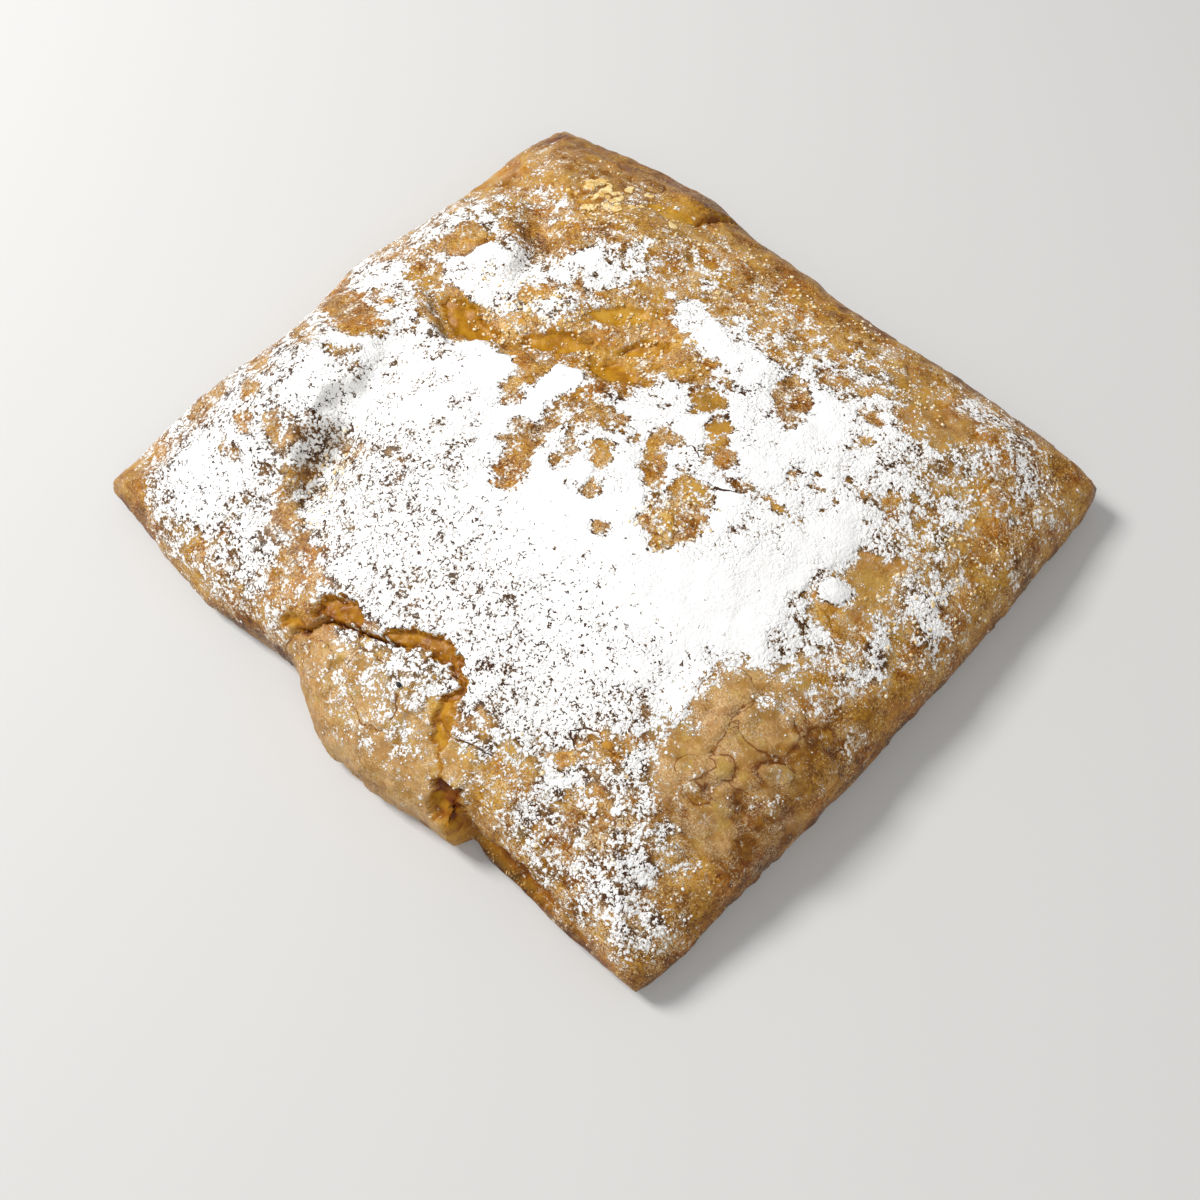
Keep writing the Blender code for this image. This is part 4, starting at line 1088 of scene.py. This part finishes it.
def dustedFinish(name):
    # Crust where the speckle lies below the dusting's level and sugar where it lies above, with a film of
    # powder between them, haze and a few threads of powder on the bare crust, pinholes painted dark as
    # their shade where the sugar is thick, and the sugar duller where it is thin. The bump adds up
    # wrinkles, lumps, grains and the sugar's own thickness.
    bench = Bench(name)
    level, inner, bubbled = (bench.attribute(key) for key in ("cover", "inner", "bubbled"))
    lumps = sugarLumps(bench)
    cut = bench.step(bench.math("ABSOLUTE", bench.attribute("fine")), 0.05, 0.20, -4.0, 0.0)
    over = bench.plus(bench.math("SUBTRACT", speckle(bench, lumps, level), level), cut)
    share = bench.step(over, -sugar["soft"], sugar["soft"])
    film = bench.times(bench.step(over, -1.5, 0.3, 0.0, 0.70), bench.step(level, -1.0, -0.3))
    crustTone = bench.mix(film, crustColour(bench), sugar["film"])
    haze = bench.times(bench.patches(0.30, 3.0, 0.7, 0.47, 0.60),
                       bench.patches(3.4, 3.0, 0.6, 0.44, 0.60, 0.0, 0.8))
    thread = bench.math("ABSOLUTE", bench.math("SUBTRACT", bench.noise(3.4, 2.0, 0.5), 0.5))
    thread = bench.step(thread, 0.003, 0.014, 0.5, 0.0)
    thread = bench.times(thread, bench.patches(1.7, 2.0, 0.6, 0.52, 0.62), bench.step(bubbled, 0.4, 0.8))
    haze = bench.times(bench.math("MAXIMUM", haze, thread), bench.step(inner, 0.1, 0.6, 1.0, 0.15))
    thinly = bench.step(level, 1.9, 0.7, 0.1, 1.0)
    haze = bench.times(haze, bench.math("MAXIMUM", thinly, bench.step(bubbled, 0.55, 0.85, 0.0, 0.7)))
    crustTone = bench.mix(haze, crustTone, sugar["haze"])
    # Pinholes and the crust's gaps beside specks are painted dark as their shade, mostly where the sugar is
    # thick.
    pinholeShade = bench.times(bench.step(level, 0.6, -1.1, 0.0, 0.95), bench.step(over, 0.3, -0.8),
                          bench.step(bubbled, 0.5, 0.9, 1.0, 0.25))
    crustTone = bench.mix(pinholeShade, crustTone, sugar["pinholeShade"])
    thin = bench.step(bench.math("SUBTRACT", level, bench.times(over, 0.5)), -0.7, 1.3, 0.0, 0.8)
    tone = bench.mix(share, crustTone, bench.mix(thin, sugar["white"], sugar["thin"]))
    crustRough = bench.step(inner, 0.3, 0.9, crust["roughness"], crust["innerRoughness"])
    rough = bench.step(share, 0.0, 1.0, crustRough, sugar["roughness"])
    wrinkle = bench.bump(bench.noise(1.3, 4.0, 0.65), 0.22, 0.8)
    powder = bench.times(bench.step(lumps, 0.0, 0.32), share, sugar["lumpHeight"],
                         bench.step(level, -2.4, -1.5, 0.3, 1.0))
    grain = bench.scaled(bench.noise(0.32, 2.0, 0.6), 0.07, powder)
    height = bench.bump(bench.scaled(share, 0.08, grain), 1.0, 0.9, wrinkle)
    return bench.finish(**{"Base Color": tone, "Roughness": rough, "Normal": height,
                           "Specular IOR Level": crust["gloss"]})


def mottledFinish(name, look):
    # Two tones in soft patches, and a grain of noise as the bump.
    bench = Bench(name)
    tone = bench.mix(bench.patches(*look["patches"]), *look["tones"])
    grain, height, strength = look["grain"]
    bump = bench.bump(bench.noise(*grain), height, strength)
    return bench.finish(**{"Base Color": tone, "Roughness": look["roughness"], "Normal": bump,
                           "Specular IOR Level": look["gloss"]})


icingLayer = {
    "thick": 0.17, "lump": 0.09, "grainy": 0.08,   # millimetres
    "from": 0.80, "full": 0.99,         # shares covered where it starts and where it is thickest
    "rim": (0.80, 0.93, 0.10),          # shares covered over which its rim rises, and from how deep
    "intoBurst": 0.9,                   # how much lower it lies where the burst is darkest
    "buried": -0.14, "base": -0.34,     # how deep its rim and its underside lie in the crust
    "lowest": 0.05,
}


def makeSugarLayer(points, normal, values):
    # A closed shell over the grid's cells where the dusting is thick: its top rises out of the crust by a
    # thickness that follows the cover, with lumps, its rim is buried, and its underside lies inside the
    # crust.
    x, y, z = points[..., 0], points[..., 1], points[..., 2]
    cover = values["cover"]
    start, end, depth = icingLayer["rim"]
    lumps = icingLayer["lump"] * cloud(x, y, z, 3.4, 3, 101)
    lumps = lumps + icingLayer["grainy"] * cloud(x, y, z, 1.1, 2, 102)
    thick = (icingLayer["thick"] + lumps) * smooth(cover, icingLayer["from"], icingLayer["full"])
    thick = thick - depth * (1.0 - smooth(cover, start, end))
    thick = np.clip(thick - icingLayer["intoBurst"] * values["deep"], icingLayer["buried"], None)
    inCell = thick > icingLayer["buried"] * 0.6
    cell = inCell[:-1, :-1] | inCell[1:, :-1] | inCell[:-1, 1:] | inCell[1:, 1:]
    for _ in range(4):   # where two cells meet only at a corner, a third one joins them
        cell[:-1, :-1] |= cell[1:, :-1] & cell[:-1, 1:] & ~cell[1:, 1:]
        cell[1:, :-1] |= cell[:-1, :-1] & cell[1:, 1:] & ~cell[:-1, 1:]
    high, wide = thick.shape
    top = (points + normal * thick[..., None]).reshape(-1, 3)
    base = (points + normal * icingLayer["base"]).reshape(-1, 3)
    base[:, 2] = np.maximum(base[:, 2], icingLayer["lowest"])
    quads = gridFaces(high, wide).reshape(high - 1, wide - 1, 4)
    under = high * wide   # what takes a point's number on the top to the one below it
    tables = [quads[cell], quads[cell][:, ::-1] + under]
    padded = np.pad(cell, 1)
    for side, (stepRow, stepColumn) in enumerate(((-1, 0), (0, 1), (1, 0), (0, -1))):
        beyond = padded[1 + stepRow:high + stepRow, 1 + stepColumn:wide + stepColumn]
        rim = quads[cell & ~beyond]
        first, second = rim[:, side], rim[:, (side + 1) % 4]
        tables.append(np.stack([second, first, first + under, second + under], axis=1))
    used, faces = np.unique(np.concatenate(tables), return_inverse=True)
    attributes = {"cover": np.tile(dustLevel(cover.ravel()), 2)[used]}
    for key in ("deep", "inner", "fine", "bakedAndShaded", "bubbled", "plate", "rim"):
        attributes[key] = np.tile(values[key].ravel(), 2)[used]
    places = [flatPlaces(values["across"], values["along"], part) for part in ("skin", "below")]
    makeMesh("icingSugar", np.concatenate([top, base])[used], [faces.reshape(-1, 4)],
             dustedFinish("icingSugar"), attributes, np.concatenate(places)[used])


class SkinTable:
    # The skin's grid, read anywhere between its points by blending the four round a place given in rows and
    # columns.
    def __init__(self, points, normal, values):
        self.points, self.normal, self.values = points, normal, values

    def read(self, table, row, column):
        high, wide = table.shape[:2]
        row, column = np.clip(row, 0.0, high - 1.001), np.clip(column, 0.0, wide - 1.001)
        i, j = row.astype(int), column.astype(int)
        u, v = row - i, column - j
        if table.ndim == 3:
            u, v = u[..., None], v[..., None]
        low = table[i, j] * (1 - v) + table[i, j + 1] * v
        return low * (1 - u) + (table[i + 1, j] * (1 - v) + table[i + 1, j + 1] * v) * u

    def find(self, x, y):
        # The row and column whose point stands at x and y: from a first guess, steps of most of what is
        # missing over the grid's own spacing there.
        high, wide = self.points.shape[:2]
        row = np.interp(y / (packet["depth"] / 2) * sideFrom, self.values["along"][:, 0], np.arange(high))
        column = np.interp(x / (packet["length"] / 2) * sideFrom, self.values["across"][0], np.arange(wide))
        plain = self.values["plain"]
        for _ in range(12):
            here = self.read(plain, row, column)
            right, left = self.read(plain, row, column + 0.5), self.read(plain, row, column - 0.5)
            back, front = self.read(plain, row + 0.5, column), self.read(plain, row - 0.5, column)
            column = column + 0.8 * (x - here[..., 0]) / np.maximum(right[..., 0] - left[..., 0], 0.15)
            row = row + 0.8 * (y - here[..., 1]) / np.maximum(back[..., 1] - front[..., 1], 0.15)
        return row, column

    def cellAreas(self):
        # Each cell's area: the length of the cross product of its two sides.
        corner = self.points[:-1, :-1]
        sides = self.points[:-1, 1:] - corner, self.points[1:, :-1] - corner
        return np.linalg.norm(np.cross(*sides), axis=2)


def randomPlaces(weights, count, seed):
    # Random places in rows and columns: as many as asked for, each grid cell as likely as its weight says.
    random = np.random.default_rng(seed)
    total = np.cumsum(weights.ravel())
    cell = np.searchsorted(total, random.random(count) * total[-1])
    wide = weights.shape[1]
    return cell // wide + random.random(count), cell % wide + random.random(count), random


def scatterLumps(name, skin, weights, kind, form, finish, seed):
    # Copies of one small faceted form, each turned at random about the skin's normal, its corners moved in
    # and out at random, pressed flat and sunk a little into the skin. A size lies between two values by a
    # random share to a power, so that small ones are commoner.
    (shape, faces), count, (small, large) = form, kind["count"], kind["sizes"]
    row, column, random = randomPlaces(weights, count, seed)
    place, up = skin.read(skin.points, row, column), skin.read(skin.normal, row, column)
    up /= np.linalg.norm(up, axis=1, keepdims=True)
    side = np.cross(up, random.normal(size=(count, 3)))
    side /= np.linalg.norm(side, axis=1, keepdims=True)
    other = np.cross(up, side)
    size = small + (large - small) * random.random(count) ** kind["power"]
    copies = shape[None] * (1.0 + kind["rough"] * random.uniform(-1, 1, (count, len(shape), 1)))
    copies = copies * size[:, None, None]
    height = copies[..., 2:] * kind["flat"] + ((1.0 - kind["sink"]) * size * kind["flat"])[:, None, None]
    points = place[:, None] + copies[..., :1] * side[:, None] + copies[..., 1:2] * other[:, None]
    points = points + height * up[:, None]
    points[..., 2] = np.maximum(points[..., 2], 0.02)
    tables = (faces[None] + (np.arange(count) * len(shape))[:, None, None]).reshape(-1, 3)
    tiles = math.ceil(math.sqrt(count))   # each copy has its own square on the flat map
    tile = np.stack([np.arange(count) % tiles, np.arange(count) // tiles], axis=1)[:, None] + 0.1
    places = (tile + 0.8 * (shape[None, :, :2] + 1.0) / 2.0) / tiles
    makeMesh(name, points.reshape(-1, 3), [tables], finish, None, places.reshape(-1, 2))


def lumpForm():
    # Twenty faces: three golden rectangles' twelve corners.
    g = (1 + math.sqrt(5)) / 2
    corners = np.array([
        (-1, g, 0), (1, g, 0), (-1, -g, 0), (1, -g, 0), (0, -1, g), (0, 1, g),
        (0, -1, -g), (0, 1, -g), (g, 0, -1), (g, 0, 1), (-g, 0, -1), (-g, 0, 1),
    ]) / math.sqrt(1 + g * g)
    faces = np.array([
        (0, 11, 5), (0, 5, 1), (0, 1, 7), (0, 7, 10), (0, 10, 11), (1, 5, 9), (5, 11, 4),
        (11, 10, 2), (10, 7, 6), (7, 1, 8), (3, 9, 4), (3, 4, 2), (3, 2, 6), (3, 6, 8),
        (3, 8, 9), (4, 9, 5), (2, 4, 11), (6, 2, 10), (8, 6, 7), (9, 8, 1),
    ])
    return corners, faces


def grainForm():
    # Eight faces: a corner at each end of three crossed axes.
    corners = np.array([(1, 0, 0), (0, 1, 0), (-1, 0, 0), (0, -1, 0), (0, 0, 1), (0, 0, -1)], float)
    faces = np.array([
        (0, 1, 4), (1, 2, 4), (2, 3, 4), (3, 0, 4), (1, 0, 5), (2, 1, 5), (3, 2, 5), (0, 3, 5),
    ])
    return corners, faces


powder = {   # loose sugar: white with a faint uneven warmth, quite matt, and grainy
    "tones": (sugar["white"], colour(238, 230, 216)), "patches": (1.6, 2.0, 0.6, 0.35, 0.7),
    "grain": ((0.2, 2.0, 0.6), 0.05, 0.6), "roughness": sugar["roughness"], "gloss": 0.25,
}
clumps = {"count": 8200, "sizes": (0.09, 0.30), "power": 3.0, "flat": 0.45, "sink": 0.6, "rough": 0.45}
grains = {"count": 17000, "sizes": (0.05, 0.11), "power": 3.0, "flat": 0.7, "sink": 0.5, "rough": 0.3}


def makeLooseSugar(skin):
    # Clumps and grains lie in soft clusters where the dusting is half open: their likelihood is a power of
    # what is covered times what is bare.
    cover = skin.values["cover"][:-1, :-1]
    area = skin.cellAreas() * (1.0 - skin.values["deep"][:-1, :-1])
    x, y, z = (skin.points[:-1, :-1, k] for k in range(3))
    likely = (4.0 * cover * (1.0 - cover)) ** 2.2 * (0.05 + smooth(cloud(x, y, z, 1.7, 2, 113), 0.05, 0.5))
    scatterLumps("sugarClumps", skin, area * (likely + 0.05 * cover), clumps, lumpForm(),
                 mottledFinish("sugarClump", powder), 111)
    scatterLumps("sugarGrains", skin, area * (likely + 0.02 * cover), grains, grainForm(),
                 mottledFinish("sugarGrain", powder), 112)


crumbs = {
    "count": 1300, "sizes": (0.13, 0.42), "power": 1.6, "flat": 0.55, "sink": 0.5, "rough": 0.55,
    "tones": (colour(246, 234, 208), colour(222, 188, 122)), "patches": (1.2, 2.0, 0.6, 0.35, 0.65),
    "grain": ((0.25, 2.0, 0.6), 0.06, 0.7), "roughness": 0.6, "gloss": 0.3,
    # x, y, half length, half width, turn, how thick they lie, softness
    "places": (
        (-30, 44, 14, 7, 10, 1.0, 3), (-44, 47, 10, 7, 0, 0.35, 4), (-30, 12, 14, 7, 15, 0.8, 4),
        (-8, 20, 15, 9, 20, 0.6, 4), (63, 20, 8, 22, 0, 0.3, 4), (48, -50, 16, 10, 0, 0.05, 4),
        (0, 47, 44, 9, 0, 0.4, 4), (-30, -36, 5, 12, 20, 0.4, 3), (24, -4, 7, 8, 0, 0.4, 3)),
}


def makeCrumbs(skin):
    # Crumbs of pastry, thickest where leaves have broken, in soft clusters, and fewer on the walls and in
    # the burst.
    x, y, z = (skin.points[:-1, :-1, k] for k in range(3))
    level, deep = skin.values["level"][:-1, :-1], skin.values["deep"][:-1, :-1]
    weights = skin.cellAreas() * layUp(x, y, 0.0, crumbs["places"]) * smooth(level, 0.3, 0.8)
    weights = weights * (0.1 + smooth(cloud(x, y, z, 2.6, 2, 115), -0.1, 0.6)) * (1.0 - 0.8 * deep)
    scatterLumps("pastryCrumbs", skin, weights, crumbs, lumpForm(),
                 mottledFinish("pastryCrumbs", crumbs), 116)


burntCrumb = {
    "place": (10.5, -54.7), "radius": 0.5, "stretch": (1.0, 0.85, 0.8), "rings": 10, "sectors": 16,
    "tones": (colour(16, 9, 5), colour(40, 22, 10)), "patches": (0.3, 2.0, 0.5, 0.4, 0.6),
    "grain": ((0.2,), 0.05, 1.0), "roughness": 0.6, "gloss": 0.5,
}


def makeBurntCrumb(skin):
    # One dark crumb on the shell: a ball of rings and sectors, its radius varied by soft noise, flattened
    # and half sunk.
    count, sectors, radius = burntCrumb["rings"], burntCrumb["sectors"], burntCrumb["radius"]
    down = np.linspace(0.0, math.pi, count + 1)[1:-1, None]
    turn = np.arange(sectors)[None] * 2 * math.pi / sectors
    out, up = np.sin(down), np.cos(down) + 0 * turn
    ball = np.stack([out * np.cos(turn), out * np.sin(turn), up], axis=2).reshape(-1, 3)
    ball = np.concatenate([[[0.0, 0.0, 1.0]], ball, [[0.0, 0.0, -1.0]]])
    rough = 1.0 + 0.16 * cloud(*(3.0 * ball.T), 2.0, 2, 131)
    ball = ball * rough[:, None] * radius * burntCrumb["stretch"]
    spot = skin.find(*(np.array([value]) for value in burntCrumb["place"]))
    points = ball + skin.read(skin.points, *spot)[0] + (0.0, 0.0, 0.25 * radius)
    rings = 1 + np.arange((count - 1) * sectors).reshape(count - 1, sectors)
    following = np.roll(rings, -1, axis=1)
    top, bottom = 0 * rings[0], 0 * rings[0] + len(points) - 1
    caps = np.concatenate([np.stack([top, rings[0], following[0]], axis=1),
                           np.stack([bottom, following[-1], rings[-1]], axis=1)])
    around = np.arctan2(ball[:, 1], ball[:, 0]) / (2 * math.pi) + 0.5
    places = np.stack([around, 0.5 + 0.45 * ball[:, 2] / radius], axis=1)
    makeMesh("burntCrumb", points, [loopFaces(rings), caps],
             mottledFinish("burntCrumb", burntCrumb), None, places)


looseLeaves = {
    "count": 46, "sizes": (0.55, 1.5), "power": 2.2, "thick": 0.05, "sunk": 0.06, "curl": 0.10,
    "rings": 4, "sectors": 14,
    "tones": (colour(242, 220, 160), colour(220, 176, 98)), "patches": (1.6, 3.0, 0.6, 0.38, 0.62),
    "grain": ((0.4, 3.0, 0.6), 0.08, 0.7), "roughness": 0.5, "gloss": 0.3,
    # x, y, half length, half width, turn, how thick they lie, softness
    "places": ((-43, 41, 2.2, 2.2, 0, 1.0, 1), (-38, 45, 6, 5, 10, 1.0, 2), (-30, 49, 7, 4, 0, 0.25, 2)),
}


def makeLooseLeaves(skin):
    # Thin flakes of pastry on the bare skin: each is a disc of rings and sectors whose outline is a radius
    # with five random waves, laid along the skin's rows and columns, its rim lifted by the curl times the
    # cubed share of the way out, most on one side.
    x, y = (skin.points[:-1, :-1, k] for k in range(2))
    bare = (1.0 - smooth(skin.values["cover"][:-1, :-1], 0.3, 0.8)) * (1.0 - skin.values["deep"][:-1, :-1])
    weights = skin.cellAreas() * bare * layUp(x, y, 0.0, looseLeaves["places"])
    weights = weights * smooth(skin.values["level"][:-1, :-1], 0.35, 0.7)
    count, ringCount, sectors = looseLeaves["count"], looseLeaves["rings"], looseLeaves["sectors"]
    row, column, random = randomPlaces(weights, count, 121)
    angle = np.arange(sectors) * 2 * math.pi / sectors
    outline = np.ones((count, sectors))
    for lobe in range(2, 7):
        size, turn = random.uniform(0, 0.34 / lobe**0.5, count), random.uniform(0, 2 * math.pi, count)
        outline = outline + size[:, None] * np.cos(lobe * angle[None] + turn[:, None])
    small, large = looseLeaves["sizes"]
    size = small + (large - small) * random.random(count) ** looseLeaves["power"]
    stretch, turn = random.uniform(0.5, 1.0, count), random.uniform(0, 2 * math.pi, count)
    share = np.linspace(0.0, 1.0, ringCount + 1)[1:]
    u = share[None, :, None] * (outline * np.cos(angle))[:, None] * size[:, None, None]
    v = share[None, :, None] * (outline * np.sin(angle))[:, None] * (size * stretch)[:, None, None]
    middle = np.zeros((count, 1))
    u = np.concatenate([middle, u.reshape(count, -1)], axis=1)
    v = np.concatenate([middle, v.reshape(count, -1)], axis=1)
    cosine, sine = np.cos(turn)[:, None], np.sin(turn)[:, None]
    x, y = u * cosine - v * sine, u * sine + v * cosine
    wide = skin.read(skin.points, row, column + 1) - skin.read(skin.points, row, column - 1)
    deep = skin.read(skin.points, row + 1, column) - skin.read(skin.points, row - 1, column)
    columnWidth, rowDepth = np.linalg.norm(wide, axis=1) / 2, np.linalg.norm(deep, axis=1) / 2
    rows, columns = row[:, None] + y / rowDepth[:, None], column[:, None] + x / columnWidth[:, None]
    place, up = skin.read(skin.points, rows, columns), skin.read(skin.normal, rows, columns)
    far = np.concatenate([middle, np.repeat(share[None], count, 0).repeat(sectors, axis=1)], axis=1)
    side = np.concatenate([[0.0], np.tile(np.cos(angle), ringCount)])
    curl = looseLeaves["curl"] * random.random(count)[:, None] ** 2 * far**3
    curl = curl * (0.4 + 0.6 * np.maximum(side, 0.0)[None])
    lift = 0.02 + curl + 0.03 * cloud(place[..., 0] * 3, place[..., 1] * 3, place[..., 2], 2.0, 2, 122)
    lift = np.maximum(lift, 0.02)
    top = place + up * (lift + looseLeaves["thick"])[..., None]
    base = place + up * (lift - looseLeaves["sunk"])[..., None]
    points = np.stack([top, base], axis=1)
    each = 1 + ringCount * sectors   # points on one side of a leaf
    rings = 1 + np.arange(ringCount * sectors).reshape(ringCount, sectors)
    following = np.roll(rings, -1, axis=1)
    bands, fan = loopFaces(rings), np.stack([0 * rings[0], rings[0], following[0]], axis=1)
    rim = np.stack([rings[-1], rings[-1] + each, following[-1] + each, following[-1]], axis=1)
    quads = np.concatenate([bands, bands[:, ::-1] + each, rim])
    fans = np.concatenate([fan, fan[:, ::-1] + each])
    start = (np.arange(count) * 2 * each)[:, None, None]
    tables = [(quads[None] + start).reshape(-1, 4), (fans[None] + start).reshape(-1, 3)]
    tiles = math.ceil(math.sqrt(2 * count))   # each side of a leaf has its own square on the flat map
    number = np.arange(2 * count)
    tile = np.stack([number % tiles, number // tiles], axis=1)[:, None] + 0.5
    spot = np.stack([u, v], axis=2) / (1.9 * size[:, None, None])
    places = (tile + 0.46 * np.repeat(spot, 2, axis=0)) / tiles
    makeMesh("looseLeaves", points.reshape(-1, 3), tables,
             mottledFinish("looseLeaf", looseLeaves), None, places.reshape(-1, 2))


camera = {
    "azimuth": 47.879, "elevation": 62.55, "roll": -4.968,   # degrees
    "distance": 0.23412, "slide": (-0.000879, -0.019975), "ahead": 0.0014,   # metres
    "lens": 36.0, "sensor": 36.0,
}


def makeCamera():
    # It stands at a distance along its back axis, slid sideways and down, looks the other way, and is
    # rolled.
    azimuth, elevation, roll = (math.radians(camera[key]) for key in ("azimuth", "elevation", "roll"))
    back = np.array([math.sin(azimuth) * math.cos(elevation), -math.cos(azimuth) * math.cos(elevation),
                     math.sin(elevation)])
    right = np.array([math.cos(azimuth), math.sin(azimuth), 0.0])
    up = np.cross(back, right)
    turnedRight = right * math.cos(roll) + up * math.sin(roll)
    turnedUp = up * math.cos(roll) - right * math.sin(roll)
    place = back * camera["distance"] + right * camera["slide"][0] + up * camera["slide"][1]
    place[1] += camera["ahead"]
    lens = bpy.data.cameras.new("camera")
    lens.lens, lens.sensor_width = camera["lens"], camera["sensor"]
    lens.clip_start = 0.01
    eye = bpy.data.objects.new("camera", lens)
    matrix = np.eye(4)
    matrix[:3, :4] = np.stack([turnedRight, turnedUp, back, place], axis=1)
    eye.matrix_world = Matrix(matrix.tolist())
    bpy.context.collection.objects.link(eye)
    bpy.context.scene.camera = eye


studio = {
    "keyFrom": (-0.80, -0.26, 0.92), "keyDistance": 0.95, "keySize": 0.26, "keyPower": 8.8,
    "fillFrom": (0.7, -0.5, 1.1), "fillDistance": 1.1, "fillSize": 0.9, "fillPower": 3.6,
    "sky": (1.0, 1.0, 1.0), "skyStrength": 0.34,
    "floor": colour(205, 204, 202), "floorSize": 6.0,
}


def makeLamp(name, direction, distance, size, power):
    # A square soft lamp at a distance in one direction, facing the packet.
    way = np.array(direction) / np.linalg.norm(direction)
    lamp = bpy.data.lights.new(name, "AREA")
    lamp.size, lamp.energy = size, power
    holder = bpy.data.objects.new(name, lamp)
    side = np.cross((0.0, 0.0, 1.0), way)
    side /= np.linalg.norm(side)
    matrix = np.eye(4)
    matrix[:3, :4] = np.stack([side, np.cross(way, side), way, way * distance], axis=1)
    holder.matrix_world = Matrix(matrix.tolist())
    bpy.context.collection.objects.link(holder)


def makeStudio():
    # The two lamps, an even sky and the floor.
    makeLamp("key", studio["keyFrom"], studio["keyDistance"], studio["keySize"], studio["keyPower"])
    makeLamp("fill", studio["fillFrom"], studio["fillDistance"], studio["fillSize"], studio["fillPower"])
    world = bpy.data.worlds.new("studio")
    world.use_nodes = True
    sky = world.node_tree.nodes["Background"]
    sky.inputs["Color"].default_value = (*studio["sky"], 1.0)
    sky.inputs["Strength"].default_value = studio["skyStrength"]
    bpy.context.scene.world = world
    bpy.context.scene.view_settings.view_transform = "Standard"
    half = studio["floorSize"] / 2
    mesh = bpy.data.meshes.new("floor")
    corners = [(-half, -half, 0), (half, -half, 0), (half, half, 0), (-half, half, 0)]
    mesh.from_pydata(corners, [], [(0, 1, 2, 3)])
    bench = Bench("paleFloor")
    mesh.materials.append(bench.finish(**{"Base Color": studio["floor"], "Roughness": 0.8}))
    floor = bpy.data.objects.new("floor", mesh)
    bpy.context.collection.objects.link(floor)


makeCamera()
makeStudio()
print("camera and studio ready")
points, normal, values = makeCrust()
print("crust ready")
makeSugarLayer(points, normal, values)
print("sugar layer ready")
skin = SkinTable(points, normal, values)
makeLooseSugar(skin)
makeCrumbs(skin)
makeBurntCrumb(skin)
makeLooseLeaves(skin)
print("loose sugar and leaves ready")
